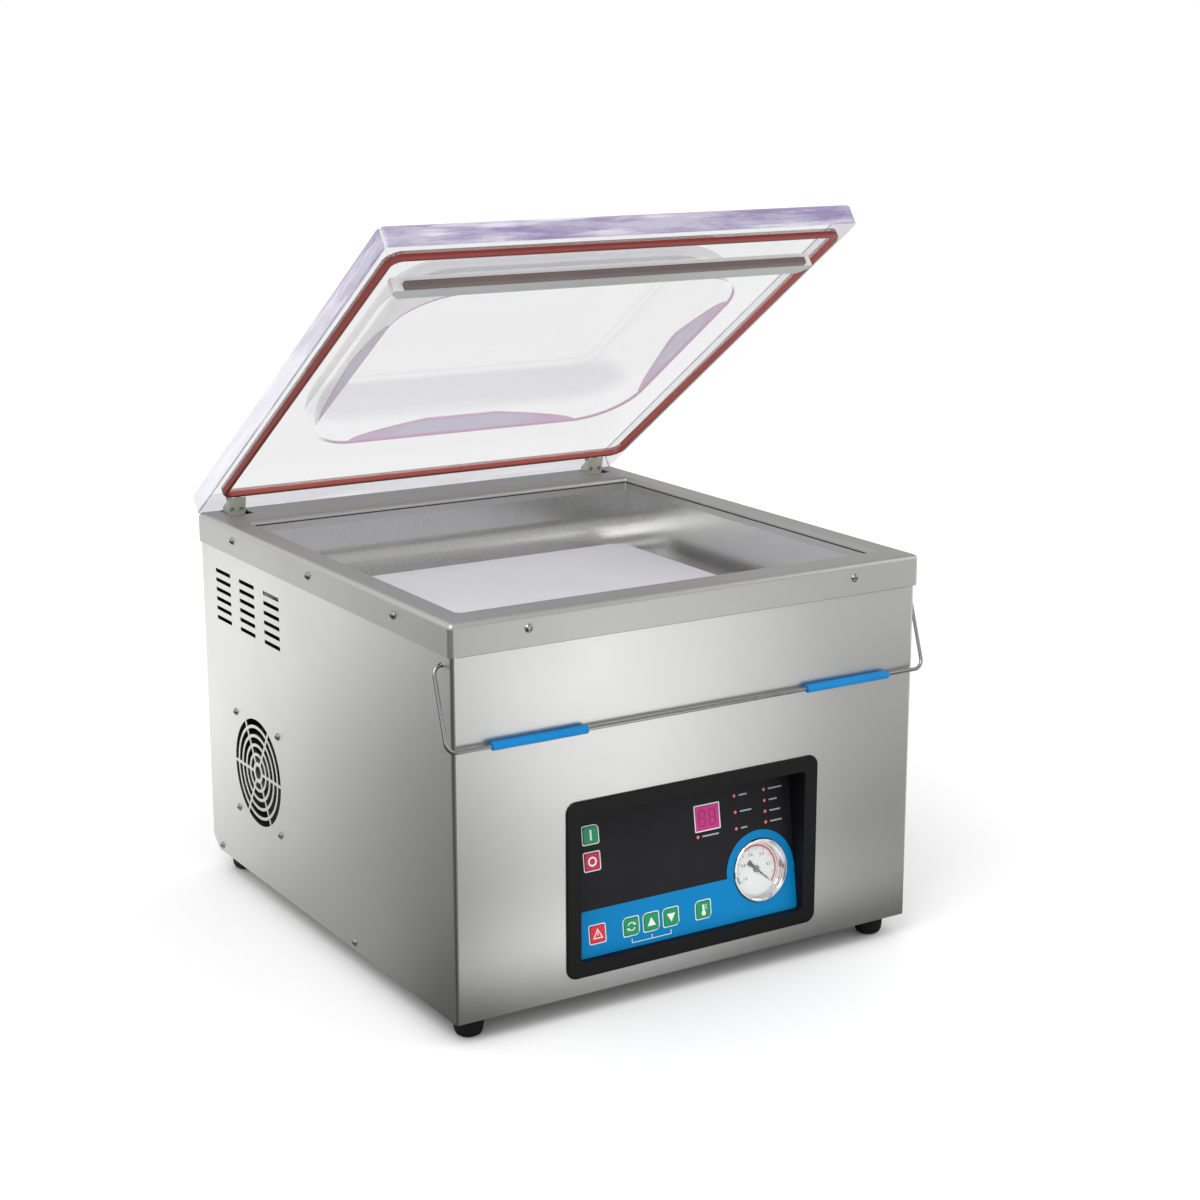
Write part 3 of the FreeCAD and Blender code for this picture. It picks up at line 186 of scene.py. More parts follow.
def acrylic(name):
    """Clear cast acrylic; the violet tint with magenta streaks on its edges and dome walls is painted
    refraction and reflection tint, with painted highlights on the edges and painted shade on the dome's
    sloping walls.
    """
    t = Tree(name)
    shut, faced = t.shut_lid()
    x, y, z = t.split(shut)
    nx, ny, nz = t.split(faced)
    level = t.math("SUBTRACT", z, (LID_FACE - PIVOT_Z) * MM)
    above_face = t.span(level, 0.0, 1.0, -0.0001, 0.0002)
    # the plate's four edges, found from a bevel's width inside each
    side = t.math("SUBTRACT", t.math("ABSOLUTE", x), (LID_HALF - BEVEL) * MM)
    front = t.math("SUBTRACT", t.math("MULTIPLY", y, -1.0), (PIVOT_Y - LID_FRONT - BEVEL) * MM)
    back = t.math("SUBTRACT", y, (LID_BACK - PIVOT_Y - BEVEL) * MM)
    edge = t.span(t.math("MAXIMUM", t.math("MAXIMUM", side, front), back), 0.0, 1.0, -0.0006, 0.0004)
    # painted refraction tint on the edges: violet with magenta, painted highlight spots, and a paler painted
    # sheen on the side edges towards the rear
    streaks = t.noise(4.0, (2.0, 2.0, 14.0), 5.0, 0.65, shut)
    refraction_streak = t.span(streaks, 0.0, 1.0, 0.42, 0.60)
    painted_glow = t.span(t.noise(5.0, (1.6, 1.6, 20.0), 4.0, 0.6, shut), 0.0, 1.0, 0.52, 0.66)
    edge_refraction_tint = t.mix(refraction_streak, rgb(0.36, 0.34, 0.44), rgb(0.17, 0.11, 0.28))
    edge_refraction_tint = t.mix(t.math("MULTIPLY", painted_glow, 0.75), edge_refraction_tint, rgb(0.66, 0.65, 0.74))
    rearward = t.math("ADD", y, t.math("MULTIPLY", t.math("SUBTRACT", streaks, 0.5), 0.5))
    on_side = t.span(t.math("ABSOLUTE", x), 0.0, 1.0, 0.2440, 0.2446)
    painted_sheen = t.math("MULTIPLY", on_side, t.span(rearward, 0.0, 0.92, -0.46, -0.30))
    edge_refraction_tint = t.mix(painted_sheen, edge_refraction_tint, rgb(0.76, 0.76, 0.80))
    # the lens-shaped band round the dome's mouth, low at its corners, tinted violet as painted refraction
    mouth, corner = t.outside(x, y, DOME_MIDDLE, DOME_HALF, DOME_CORNER)
    swell = t.math("POWER", t.span(corner, 1.0, 0.0, -0.085, 0.004), 0.6)
    tall = t.math("ADD", 0.002, t.math("MULTIPLY", swell, 0.0155))
    share = t.math("DIVIDE", level, tall)
    near = t.math("MULTIPLY", t.span(mouth, 0.0, 1.0, -0.0100, -0.0080),
                  t.span(mouth, 1.0, 0.0, 0.0026, 0.0036))
    low = t.math("MULTIPLY", near, above_face)
    lens = t.math("MULTIPLY", low, t.span(share, 1.0, 0.0, 0.94, 1.06))
    away = t.span(t.math("ADD", nx, ny), 1.0, 0.0, -0.30, 0.10)
    # painted refraction tint: magenta along the band's foot and crest, and in patches at its ends
    foot = t.math("MULTIPLY", low, t.span(level, 1.0, 0.0, 0.0016, 0.0030))
    crest = t.math("MULTIPLY", lens, t.span(share, 0.0, 1.0, 0.78, 0.92))
    pink = t.span(t.noise(11.0, (1, 1, 2.0), 3.0, 0.5, shut), 0.25, 1.0, 0.42, 0.60)
    ends = t.math("MULTIPLY", lens, t.math("MULTIPLY", t.span(corner, 0.0, 0.8, -0.070, -0.030), pink))
    line = t.math("MAXIMUM", t.math("MAXIMUM", foot, crest), ends)
    lens_refraction_tint = t.mix(line, rgb(0.32, 0.28, 0.41), rgb(0.38, 0.12, 0.32))
    # the dome's rounded shoulder, tinted lilac-grey as painted shade, and the outline of its flat crown
    high = t.span(level, 0.0, 1.0, 0.020, 0.030)
    sloping = t.math("MULTIPLY", t.span(nz, 1.0, 0.0, 0.80, 0.97), t.span(ny, 1.0, 0.0, -0.35, -0.10))
    shoulder = t.math("MULTIPLY", high, sloping)
    outline = t.span(t.math("ABSOLUTE", t.math("ADD", mouth, 0.037)), 1.0, 0.0, 0.0, 0.006)
    crown = t.math("MULTIPLY", outline, high)
    body = t.mix(lens, rgb(0.19, 0.19, 0.20), lens_refraction_tint)
    body = t.mix(t.math("MULTIPLY", shoulder, 0.8), body, rgb(0.40, 0.38, 0.48))
    t.set(Base_Color=t.mix(edge, body, edge_refraction_tint), IOR=1.49)
    strong = t.math("MULTIPLY", lens, t.math("ADD", 0.12, t.math("MULTIPLY", away, 0.56)))
    lined = t.math("MULTIPLY", line, t.math("ADD", 0.22, t.math("MULTIPLY", away, 0.48)))
    soft = t.math("ADD", t.math("MULTIPLY", shoulder, 0.12), t.math("MULTIPLY", crown, 0.05))
    see = t.math("MAXIMUM", t.math("ADD", 0.17, soft), t.math("MAXIMUM", strong, lined))
    rear = t.math("MAXIMUM", t.span(x, 0.0, 1.0, 0.2436, 0.2444), t.span(y, 0.0, 1.0, 0.0090, 0.0100))
    t.set(Alpha=t.math("MAXIMUM", see, t.math("MULTIPLY", edge, t.span(rear, 0.86, 0.40))))
    smear = t.noise(5.0, (1, 1, 1), 3.0)
    return t.set(Roughness=t.span(smear, 0.03, 0.10, 0.4, 0.7)).material


def gasket(name, outer, crest, inner):
    """Silicone cord in a groove, its darker crest and brighter inner flank painted across its width as shade
    and highlight.
    """
    t = Tree(name)
    x, y, z = t.split(t.shut_lid()[0])
    across = t.outside(x, y, GASKET_MIDDLE, GASKET_HALF, GASKET_CORNER)[0]
    # painted shade on the crest and a painted highlight on the inner flank, by distance across the cord
    tint = t.mix(t.span(across, 0.0, 1.0, -0.0022, -0.0010), rgb(*inner), rgb(*crest))
    tint = t.mix(t.span(across, 0.0, 1.0, 0.0004, 0.0016), tint, rgb(*outer))
    skin = t.noise(900.0, detail=2.0)
    t.set(Base_Color=tint, Roughness=t.span(skin, 0.36, 0.48, 0.3, 0.7))
    return t.bump(skin, 0.08, 0.0001).material


def painted_face_light(name, front, under, end):
    """Pale nylon bar with painted light and shade: brightest on the face towards the operator when the lid is
    shut, darker on the underside.
    """
    t = Tree(name)
    nx, ny, nz = t.split(t.shut_lid()[1])
    # painted light and shade by the face's direction on the shut lid: front bright, underside dark, left end
    # between
    tint = t.mix(t.span(ny, 1.0, 0.0, -0.9, -0.4), rgb(*under), rgb(*front))
    tint = t.mix(t.span(nx, 1.0, 0.0, -0.9, -0.4), tint, rgb(*end))
    skin = t.noise(600.0, detail=2.0)
    t.set(Base_Color=tint, Roughness=t.span(skin, 0.34, 0.44, 0.3, 0.7))
    return t.bump(skin, 0.05, 0.0001).material


def clear(name, color, rough=0.02):
    """Thin clear glass."""
    t = Tree(name)
    haze = t.noise(40.0)
    return t.set(Base_Color=rgb(*color), Alpha=t.span(haze, 0.07, 0.10, 0.4, 0.7), IOR=1.5,
                 Roughness=t.span(haze, rough, rough * 3, 0.4, 0.7)).material


STEEL = (0.70, 0.70, 0.69)
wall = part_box("cabinet_wrap")
# the wrap's front vertical corners get painted shade
front_steel = brushed("steel_cabinet", STEEL, (0.6, 0.6, 40.0), (0.28, 0.40), 0.05,
                      shaded_fold=(wall[1][0], wall[0][1]))
rim_steel = brushed("steel_rim", (0.58, 0.58, 0.57), (1.5, 1.5, 14.0), (0.36, 0.46), 0.05)
tub_steel = brushed("steel_chamber", (0.62, 0.62, 0.61), (1.0, 14.0, 14.0), (0.20, 0.32), 0.05)
plated = brushed("steel_plated", (0.66, 0.66, 0.62), (4.0, 4.0, 4.0), (0.35, 0.5), 0.04)
bright = polished("steel_bright", (0.36, 0.36, 0.37), 0.20)
chrome = polished("chrome", (0.86, 0.86, 0.87), 0.06)
spring = polished("steel_spring", (0.30, 0.30, 0.31), 0.35)
core = brushed("steel_core", (0.28, 0.28, 0.29), (20.0, 1.0, 1.0), (0.4, 0.6), 0.1)
alloy = brushed("alloy", (0.68, 0.68, 0.68), (3.0, 3.0, 3.0), (0.3, 0.45), 0.05)
brass = polished("brass", (0.62, 0.45, 0.20), 0.25)
white_board = moulded("board_white", (0.70, 0.70, 0.74), 0.42, 500.0, 0.05, 0.97)
rubber_black = moulded("rubber_black", (0.004, 0.004, 0.004), 0.80, 600.0, 0.2)
plastic_black = moulded("plastic_black", (0.016, 0.016, 0.016), 0.5, 1100.0, 0.15)
bezel_black = moulded("plastic_bezel", (0.005, 0.005, 0.006), 0.50, 1600.0, 0.22, gloss=0.20)
overlay_film = moulded("film_charcoal", (0.013, 0.013, 0.015), 0.42, 2400.0, 0.08, gloss=0.15)
film_blue = moulded("print_blue", (0.0, 0.20, 0.475), 0.45, 2400.0, 0.05, 0.94, gloss=0.12)
film_white = moulded("print_white", (0.78, 0.80, 0.80), 0.4, 2400.0, 0.05, 0.95)
film_grey = moulded("print_grey", (0.35, 0.36, 0.37), 0.4, 2400.0, 0.05, 0.95)
grip_blue = moulded("plastic_blue", (0.0, 0.20, 0.51), 0.40, 700.0, 0.06, 0.90, gloss=0.20)
# outer colour, crest colour painted as shade, inner colour painted as a highlight
gasket_red = gasket("silicone_red", (0.25, 0.034, 0.025), (0.10, 0.010, 0.008), (0.40, 0.075, 0.055))
strip_brown = moulded("silicone_brown", (0.16, 0.125, 0.12), 0.48, 700.0, 0.15, 0.85)
nylon = painted_face_light("nylon_pale", (0.74, 0.75, 0.75), (0.38, 0.39, 0.39), (0.62, 0.63, 0.63))
casting = moulded("cast_grey", (0.52, 0.55, 0.47), 0.48, 500.0, 0.25, 0.80)
key_green = moulded("key_green", (0.0, 0.265, 0.10), 0.34, 1800.0, 0.06, 0.94, 0.2, 0.25)
key_crimson = moulded("key_crimson", (0.46, 0.012, 0.06), 0.34, 1800.0, 0.06, 0.94, 0.2, 0.25)
key_red = moulded("key_red", (0.62, 0.018, 0.045), 0.34, 1800.0, 0.06, 0.94, 0.2, 0.25)
magenta = moulded("display_magenta", (0.50, 0.035, 0.21), 0.25, 1800.0, 0.02, 0.95, gloss=0.25)
magenta_dark = moulded("display_segments", (0.34, 0.016, 0.13), 0.25, 1800.0, 0.02, 0.95, gloss=0.25)
lamp = moulded("lamp_pink", (0.80, 0.16, 0.22), 0.2, 900.0, 0.02, 0.95, 0.5)
dial_white = moulded("dial_white", (0.84, 0.84, 0.83), 0.4, 900.0, 0.03, 0.98)
dial_red = moulded("dial_red", (0.66, 0.02, 0.02), 0.4, 900.0, 0.03)
dial_green = moulded("dial_green", (0.02, 0.33, 0.10), 0.4, 900.0, 0.03)
dial_black = moulded("dial_black", (0.02, 0.02, 0.022), 0.4, 900.0, 0.03)
circuit = moulded("circuit_green", (0.01, 0.14, 0.05), 0.4, 300.0, 0.2)
pump_paint = moulded("paint_pump", (0.16, 0.18, 0.21), 0.5, 250.0, 0.35)
motor_paint = moulded("paint_motor", (0.20, 0.22, 0.24), 0.45, 300.0, 0.3)
tape_brown = moulded("tape_brown", (0.40, 0.29, 0.17), 0.5, 1500.0, 0.3)

FINISH = {
    front_steel: ("cabinet_wrap", "rear_panel"),
    rim_steel: ("top_rim",),
    tub_steel: ("chamber_tub", "seal_bar"),
    plated: ("base_tray", "hinge_brackets", "panel_plate", "lid_switch"),
    bright: ("rim_screws", "base_screws", "fan_screws", "bail_wire", "hinge_shaft", "seal_rods"),
    plastic_black: ("fan_frame", "fan_impeller", "gauge_case", "motor_fan_cover", "power_inlet",
                    "key_switches"),
    rubber_black: ("feet", "suction_hose"),
    spring: ("hinge_springs", "hinge_screws"),
    white_board: ("filler_plate",),
    acrylic("acrylic_clear"): ("lid_panel",),
    gasket_red: ("lid_gasket",),
    nylon: ("counter_bar_holder",),
    strip_brown: ("counter_strip",),
    casting: ("hinge_blocks",),
    grip_blue: ("bail_grips",),
    bezel_black: ("panel_bezel",),
    overlay_film: ("panel_overlay",),
    magenta: ("display_lens",),
    lamp: ("led_lenses",),
    circuit: ("control_board",),
    chrome: ("gauge_ring",),
    clear("glass_clear", (0.75, 0.78, 0.80)): ("gauge_glass", "oil_sight_glass"),
    dial_white: ("gauge_dial",),
    dial_black: ("gauge_needle",),
    alloy: ("seal_wires", "seal_cylinders", "suction_port"),
    tape_brown: ("seal_tape",),
    brass: ("vacuum_valve", "air_valve"),
    pump_paint: ("pump_housing", "exhaust_filter"),
    motor_paint: ("motor_housing",),
    core: ("motor_rotor", "transformer"),
    key_green: ("key_on", "key_cycle", "key_up", "key_down", "key_temperature"),
    key_crimson: ("key_off",),
    key_red: ("key_stop",),
}
for finish, names in FINISH.items():
    for name in names:
        for place in cad[name].material_slots:
            place.link = "DATA"
            place.material = finish


# ---------------------------------------------------------------- printed shapes
def arc(cx, cy, radius, start, end, steps=48):
    """Points along an arc, angles in degrees."""
    turn = [math.radians(start + (end - start) * i / steps) for i in range(steps + 1)]
    return [(cx + radius * math.cos(a), cy + radius * math.sin(a)) for a in turn]


def round_rect(u0, u1, s0, s1, radii):
    """Rectangle with its own radius at each corner: low left, low right, high right, high left."""
    ends = ((u0, s0, 180), (u1, s0, 270), (u1, s1, 0), (u0, s1, 90))
    out = []
    for (u, s, start), r in zip(ends, radii):
        cu, cs = u + (r if u == u0 else -r), s + (r if s == s0 else -r)
        out += arc(cu, cs, r, start, start + 90, 8) if r else [(u, s)]
    return out


def ring(outer, inner):
    """Faces between two outlines with the same number of points."""
    return [(outer[i - 1], outer[i], inner[i], inner[i - 1]) for i in range(len(outer))]


def printed(name, faces, height, finish, body, place=TO_PANEL, thick=0.06):
    """Raised print made of flat faces in millimetres, height above the plane, moved to its place."""
    mesh = bmesh.new()
    for face in faces:
        top = [mesh.verts.new((u * MM, s * MM, height * MM)) for u, s in face]
        mesh.faces.new(top)
    bmesh.ops.remove_doubles(mesh, verts=mesh.verts, dist=1e-6)
    grown = bmesh.ops.extrude_face_region(mesh, geom=mesh.faces[:])
    up = [v for v in grown["geom"] if isinstance(v, bmesh.types.BMVert)]
    bmesh.ops.translate(mesh, verts=up, vec=(0, 0, thick * MM))
    bmesh.ops.recalc_face_normals(mesh, faces=mesh.faces)
    data = bpy.data.meshes.new(name)
    mesh.to_mesh(data)
    mesh.free()
    data.transform(place)
    data.materials.append(finish)
    piece = bpy.data.objects.new(name, data)
    bpy.context.scene.collection.objects.link(piece)
    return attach(piece, body)


def figures(name, words, size, height, finish, body, place=TO_PANEL):
    """Generic figures, each (text, u, s), turned into one mesh."""
    mesh = bmesh.new()
    for text, u, s in words:
        curve = bpy.data.curves.new(name + "_curve", "FONT")
        curve.body, curve.size, curve.extrude = text, size * MM, 0.03 * MM
        curve.align_x, curve.align_y = "CENTER", "CENTER"
        holder = bpy.data.objects.new(name + "_holder", curve)
        flat = bpy.data.meshes.new_from_object(holder)
        flat.transform(Matrix.Translation((u * MM, s * MM, height * MM)))
        mesh.from_mesh(flat)
        bpy.data.objects.remove(holder)
        bpy.data.meshes.remove(flat)
    data = bpy.data.meshes.new(name)
    mesh.to_mesh(data)
    mesh.free()
    data.transform(place)
    data.materials.append(finish)
    piece = bpy.data.objects.new(name, data)
    bpy.context.scene.collection.objects.link(piece)
    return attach(piece, body)


def straight_on(z):
    """Matrix that lays a flat shape drawn in X and Y at the height z."""
    return Matrix.Translation((0, 0, z * MM))


# painted shadow: thin dark rings standing in for the shade under the rim's rolled edge inside the chamber and
# under its flange round the cabinet
shadow_dark = moulded("painted_shadow_grey", (0.035, 0.035, 0.035), 0.6, 500.0, 0.2)
shadow_out = round_rect(-218.98, 218.98, -233.48, 194.98, (2, 2, 2, 2))
shadow_in = round_rect(-218.75, 218.75, -233.25, 194.75, (1.8, 1.8, 1.8, 1.8))
printed("rim_shadow_line", ring(shadow_out, shadow_in), 0.0, shadow_dark, "machine", straight_on(367.6), 1.3)

wall_x, wall_front, wall_back = wall[1][0] / MM, wall[0][1] / MM, wall[1][1] / MM
# painted shadow under the rim's flange, round the cabinet wall
shadow_out = round_rect(-wall_x - 0.25, wall_x + 0.25, wall_front - 0.25, wall_back + 0.25, (6, 6, 6, 6))
shadow_in = round_rect(-wall_x + 0.4, wall_x - 0.4, wall_front + 0.4, wall_back - 0.4, (5.4, 5.4, 5.4, 5.4))
printed("rim_shadow_gap", ring(shadow_out, shadow_in), 0.0, shadow_dark, "machine", straight_on(343.3), 0.8)

# ---------------------------------------------------------------- control panel prints
KEYS = {"key_on": (-96.3, 108.5), "key_off": (-96.6, 84.8), "key_stop": (-96.8, 19.8),
        "key_cycle": (-61.7, 19.4), "key_up": (-40.6, 19.4), "key_down": (-19.5, 19.5),
        "key_temperature": (15.5, 19.2)}
LEDS = [(15.7, 85.6)] + [(58.0, s) for s in (116.3, 101.2, 85.8)]
LEDS += [(91.0, s) for s in (116.7, 106.4, 96.3, 86.3)]
HALF_HOLE, KEY_TOP = 7.85, 0.8
BAND_LOW, BAND_S, ARCH_R, ARCH_LEFT, ARCH_STEPS, GAUGE_HOLE_R = 0.2, 41.7, 37.5, 44.0, 72, 29.9
WIN_X = 119.4


def blue_band():
    """Band along the foot of the panel, with a round arch behind the gauge, clear of the key holes."""
    low_keys = [(u, s) for u, s in KEYS.values() if s < BAND_S]
    cuts = sorted({-WIN_X, ARCH_LEFT} | {u + d for u, s in low_keys for d in (-HALF_HOLE, HALF_HOLE)})
    faces = []
    for a, b in zip(cuts, cuts[1:]):
        holes = [s for u, s in low_keys if abs(u - (a + b) / 2) < HALF_HOLE]
        spans = [(BAND_LOW, BAND_S)]
        if holes:
            spans = [(BAND_LOW, holes[0] - HALF_HOLE), (holes[0] + HALF_HOLE, BAND_S)]
        faces += [[(a, low), (b, low), (b, high), (a, high)] for low, high in spans]
    outline = []
    for i in range(ARCH_STEPS):
        turn = 2 * math.pi * i / ARCH_STEPS
        c, s = math.cos(turn), math.sin(turn)
        reach = [(WIN_X - GAUGE_U) / c if c > 0 else 1e9, (ARCH_LEFT - GAUGE_U) / c if c < 0 else 1e9,
                 (BAND_LOW - GAUGE_S) / s if s < 0 else 1e9, ARCH_R if s > 0 else 1e9]
        outline.append((GAUGE_U + min(reach) * c, GAUGE_S + min(reach) * s))
    for corner in ((ARCH_LEFT, BAND_LOW), (WIN_X, BAND_LOW)):
        closest = min(range(ARCH_STEPS), key=lambda i: math.dist(outline[i], corner))
        outline[closest] = corner
    inner = arc(GAUGE_U, GAUGE_S, GAUGE_HOLE_R, 0, 360, ARCH_STEPS)[:-1]
    return faces + ring(outline, inner)


printed("print_band", blue_band(), 0.0, film_blue, "machine")

LEAF = {"key_stop": (2, 2, 2, 2), "key_on": (2, 2, 5, 2), "key_off": (2, 2, 2, 2), "key_cycle": (2, 5, 2, 5),
        "key_up": (2, 5, 2, 5), "key_down": (2, 5, 2, 5), "key_temperature": (2, 5, 2, 5)}
borders = []
for key, (u, s) in KEYS.items():
    outer, inner = HALF_HOLE + 1.0, HALF_HOLE + 0.15
    radii = LEAF[key]
    borders += ring(round_rect(u - outer, u + outer, s - outer, s + outer, radii),
                    round_rect(u - inner, u + inner, s - inner, s + inner, [r * 0.85 for r in radii]))
printed("print_key_borders", borders, 0.06, film_white, "machine", thick=0.05)

bracket = [[(-62, 4.1), (-20, 4.1), (-20, 4.7), (-62, 4.7)]]
bracket += [[(u - 0.3, 4.7), (u + 0.3, 4.7), (u + 0.3, 8.2), (u - 0.3, 8.2)] for u in (-61.7, -40.6, -20.3)]
printed("print_bracket", bracket, 0.06, film_white, "machine", thick=0.05)

u0, u1, s0, s1 = 14.2, 39.9, 91.0, 113.4
printed("print_display_border", ring(round_rect(u0 - 1.1, u1 + 1.1, s0 - 1.1, s1 + 1.1, (0.9,) * 4),
                                     round_rect(u0 - 0.1, u1 + 0.1, s0 - 0.1, s1 + 0.1, (0.2,) * 4)),
        0.02, film_white, "machine", thick=0.1)


def digit(u, s, w, h, bar=1.5):
    """All seven bars of an unlit display digit."""
    g, b, half = 0.5, bar / 2, h / 2
    flat = [[(u + g, y - b), (u + w - g, y - b), (u + w - g, y + b), (u + g, y + b)]
            for y in (s, s + half, s + h)]
    tall = [[(x - b, y + g), (x + b, y + g), (x + b, y + half - g), (x - b, y + half - g)]
            for x in (u, u + w) for y in (s, s + half)]
    return flat + tall


digits = digit(18.0, 95.0, 6.4, 14.0) + digit(29.2, 95.0, 6.4, 14.0)
printed("display_digits", digits, 0.3, magenta_dark, "machine", thick=0.05)

labels = [[(u + 5.0, s - 0.7), (u + 5.0 + w, s - 0.7), (u + 5.0 + w, s + 0.7), (u + 5.0, s + 0.7)]
          for (u, s), w in zip(LEDS[1:], (9, 13, 7, 15, 9, 12, 13))]
labels += [[(20.5, 84.8), (38.5, 84.8), (38.5, 86.3), (20.5, 86.3)]]
printed("print_lamp_dashes", labels, 0.0, film_grey, "machine")

# ---------------------------------------------------------------- key signs
ICON_H = KEY_TOP + 0.005


def at(key, faces):
    u, s = KEYS[key]
    return [[(u + a, s + b) for a, b in face] for face in faces]


def ring_round(radius, width, start=0, end=360, steps=40):
    outer, inner = arc(0, 0, radius, start, end, steps), arc(0, 0, radius - width, start, end, steps)
    return [(outer[i], outer[i + 1], inner[i + 1], inner[i]) for i in range(steps)]


triangle_out = [(0, 5.2), (-5.2, -4.0), (5.2, -4.0)]
triangle_in = [(0, 3.4), (-3.7, -3.1), (3.7, -3.1)]
SIGNS = {
    "key_on": [[(-0.9, -4.6), (0.9, -4.6), (0.9, 4.6), (-0.9, 4.6)]],
    "key_off": ring_round(4.4, 1.5),
    "key_stop": ring(triangle_out, triangle_in) + [[(-0.4, -1.4), (0.4, -1.4), (0.4, 1.5), (-0.4, 1.5)]],
    "key_cycle": ring_round(4.0, 0.9, 30, 160) + ring_round(4.0, 0.9, 210, 340)
                 + [[(3.6, 3.6), (1.6, 1.4), (4.9, 0.9)], [(-3.6, -3.6), (-1.6, -1.4), (-4.9, -0.9)]],
    "key_up": [[(-4.4, -3.4), (4.4, -3.4), (0, 4.2)]],
    "key_down": [[(-4.4, 3.4), (0, -4.2), (4.4, 3.4)]],
    "key_temperature": [arc(0, -3.2, 2.3, 120, 420, 24) + [(1.15, 4.6), (-1.15, 4.6)]]
                       + [[(2.2, y), (3.9, y), (3.9, y + 0.6), (2.2, y + 0.6)] for y in (0.0, 1.8, 3.6)],
}
for key, faces in SIGNS.items():
    printed("sign_" + key[4:], at(key, faces), ICON_H, film_white, key, thick=0.05)

# ---------------------------------------------------------------- gauge dial
ON_DIAL = TO_PANEL @ Matrix.Translation(Vector((GAUGE_U, GAUGE_S, DIAL_H)) * MM)
START, SWEEP = -42.5, 253.0


def dial_ticks(count, inner, outer, width):
    faces = []
    for i in range(count + 1):
        a = math.radians(START + SWEEP * i / count)
        c, s = math.cos(a), math.sin(a)
        w = width / 2
        faces.append([(inner * c + w * s, inner * s - w * c), (outer * c + w * s, outer * s - w * c),
                      (outer * c - w * s, outer * s + w * c), (inner * c - w * s, inner * s + w * c)])
    return faces


printed("dial_arc_red", ring_round(22.6, 1.7, START, 123.0, 60), 0.01, dial_red, "machine", ON_DIAL)
printed("dial_arc_green", ring_round(22.6, 1.7, 190.5, 210.5, 16), 0.01, dial_green, "machine", ON_DIAL)
printed("dial_ticks_long", dial_ticks(10, 18.0, 20.7, 0.42), 0.01, dial_black, "machine", ON_DIAL)
printed("dial_ticks_short", dial_ticks(50, 19.4, 20.7, 0.2), 0.01, dial_black, "machine", ON_DIAL)
steps_shown = [(i, "%.1f" % (i / 5)) for i in range(0, 6)]
words = []
for i, text in steps_shown:
    a = math.radians(START + SWEEP * i / 5)
    words.append((text if i else "0", 14.6 * math.cos(a), 14.6 * math.sin(a)))
figures("dial_figures", words, 4.0, 0.03, dial_black, "machine", ON_DIAL)
printed("needle_hub_cap", [arc(0, 0, 2.3, 0, 360 - 360 / 24, 23)], 1.25, bright, "needle", ON_DIAL, 0.5)


# ---------------------------------------------------------------- stage
def floor():
    """Pale floor. Polished metal sees painted reflections in it: bright patches, as it would the reflectors
    of a studio, and a dark spot in front of the machine as painted shadow. Away from the machine the floor
    glows as painted light.
    """
    bpy.ops.mesh.primitive_plane_add(size=80.0, location=(0, 0, -0.0003))
    ground = bpy.context.object
    ground.name = "floor"
    t = Tree("floor_pale")
    x, y, z = t.split(t.coords)

    def reflected_patch(centre, turn, sizes, height):
        """Soft oval spot of painted reflection on the floor, bright, or dark as painted shadow where the
        height is below zero.
        """
        spot = {"Vector": t.coords, "Location": (*centre, 0.0), "Rotation": (0, 0, turn),
                "Scale": (*sizes, 1.0)}
        local = t.add("ShaderNodeMapping", spot, vector_type="TEXTURE").outputs[0]
        square = t.add("ShaderNodeVectorMath", {0: local, 1: local}, operation="DOT_PRODUCT").outputs["Value"]
        return t.math("MULTIPLY", t.math("POWER", 0.6065, square), height)

    # painted reflections, seen only by glossy rays: a ramp from dark at the front left to bright at the back
    # right, two bright spots, and a dark spot in front of the machine as painted shadow
    along = t.math("ADD", y, t.math("MULTIPLY", x, 1.167))
    limits = {"From Min": -0.299, "From Max": 0.489, "To Min": -1.038, "To Max": 0.963}
    ramp = t.add("ShaderNodeMapRange", {"Value": along, **limits}, interpolation_type="SMOOTHSTEP").outputs[0]
    reflected_tone = t.math("ADD", ramp, reflected_patch((1.508, -2.987), 0.529, (0.217, 2.677), 4.033))
    reflected_tone = t.math("ADD", reflected_tone, reflected_patch((0.015, -0.426), 1.58, (0.045, 0.23), 1.071))
    reflected_tone = t.math("ADD", reflected_tone, reflected_patch((-0.007, -0.388), 0.0, (0.336, 0.336), -0.772))
    reflected_tone = t.math("MINIMUM", t.math("MAXIMUM", reflected_tone, 0.10), 1.7)
    grey = t.add("ShaderNodeCombineColor", {"Red": reflected_tone, "Green": reflected_tone, "Blue": reflected_tone}).outputs[0]
    glossy = t.add("ShaderNodeLightPath").outputs["Is Glossy Ray"]
    reach = t.add("ShaderNodeVectorMath", {0: t.coords}, operation="LENGTH").outputs["Value"]
    t.set(Base_Color=t.mix(glossy, rgb(0.93, 0.93, 0.93), grey), Roughness=0.8, Specular_IOR_Level=0.0)
    # painted light: the floor glows for all but glossy rays, more with distance from the origin
    painted_glow = t.math("MULTIPLY", t.span(reach, 0.0, 0.20, 0.6, 1.6), t.math("SUBTRACT", 1.0, glossy))
    t.set(Emission_Color=rgb(1, 1, 1), Emission_Strength=painted_glow)
    ground.data.materials.append(t.material)


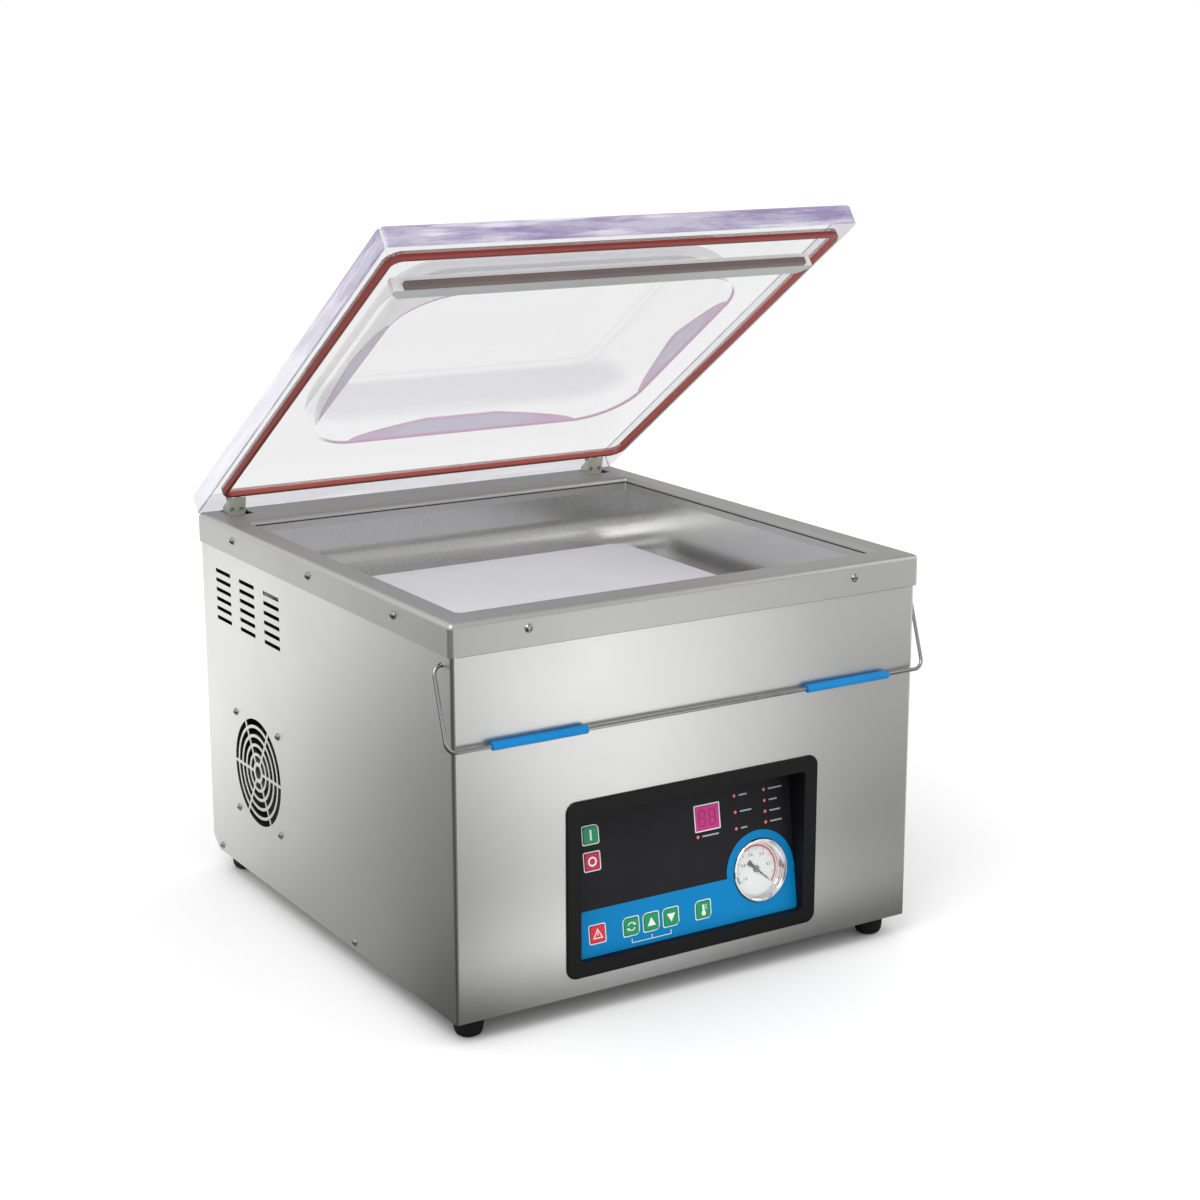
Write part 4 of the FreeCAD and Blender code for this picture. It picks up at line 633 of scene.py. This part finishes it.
def light(name, place, target, size, power, color=(1, 1, 1)):
    data = bpy.data.lights.new(name, "AREA")
    data.shape, data.size, data.size_y = "RECTANGLE", size[0], size[1]
    data.energy, data.color = power, color
    lamp_object = bpy.data.objects.new(name, data)
    bpy.context.scene.collection.objects.link(lamp_object)
    lamp_object.location = place
    lamp_object.rotation_euler = (Vector(target) - Vector(place)).to_track_quat("-Z", "Y").to_euler()


def studio():
    """White surroundings, which polished metal sees darker towards the right and overhead."""
    world = bpy.data.worlds.new("studio")
    bpy.context.scene.world = world
    world.use_nodes = True
    nodes, links = world.node_tree.nodes, world.node_tree.links
    background = nodes["Background"]
    split = nodes.new("ShaderNodeSeparateXYZ")
    links.new(nodes.new("ShaderNodeTexCoord").outputs["Generated"], split.inputs[0])
    dim = nodes.new("ShaderNodeMapRange")
    links.new(split.outputs[0], dim.inputs[0])
    for key, value in (("From Min", -0.2), ("From Max", 0.8), ("To Min", 0.92), ("To Max", 0.38)):
        dim.inputs[key].default_value = value
    choose = nodes.new("ShaderNodeMix")
    links.new(nodes.new("ShaderNodeLightPath").outputs["Is Glossy Ray"], choose.inputs[0])
    choose.inputs[2].default_value = 1.0
    links.new(dim.outputs[0], choose.inputs[3])
    links.new(choose.outputs[0], background.inputs["Strength"])
    background.inputs["Color"].default_value = (1, 1, 1, 1)


def camera():
    """At the photograph's viewing angle."""
    azimuth, elevation = math.radians(-31.95), math.radians(13.769)
    back = Vector((math.sin(azimuth) * math.cos(elevation), -math.cos(azimuth) * math.cos(elevation),
                   math.sin(elevation)))
    data = bpy.data.cameras.new("camera")
    data.sensor_width, data.lens = 36.0, 67.78
    data.shift_x, data.shift_y = -0.0004, -0.0022
    data.clip_start, data.clip_end = 0.05, 60.0
    eye = bpy.data.objects.new("camera", data)
    bpy.context.scene.collection.objects.link(eye)
    eye.location = (-1.076874, -1.831453, 0.829181)
    eye.rotation_mode = "QUATERNION"
    eye.rotation_quaternion = (-back).to_track_quat("-Z", "Y")
    bpy.context.scene.camera = eye


floor()
studio()
light("key", (-1.6, -1.2, 2.4), (0, 0, 0.3), (1.6, 1.6), 28.0)
light("side", (2.4, -1.4, 1.4), (0, 0, 0.3), (1.2, 1.8), 12.0)
camera()
bpy.context.scene.view_settings.view_transform = "Standard"
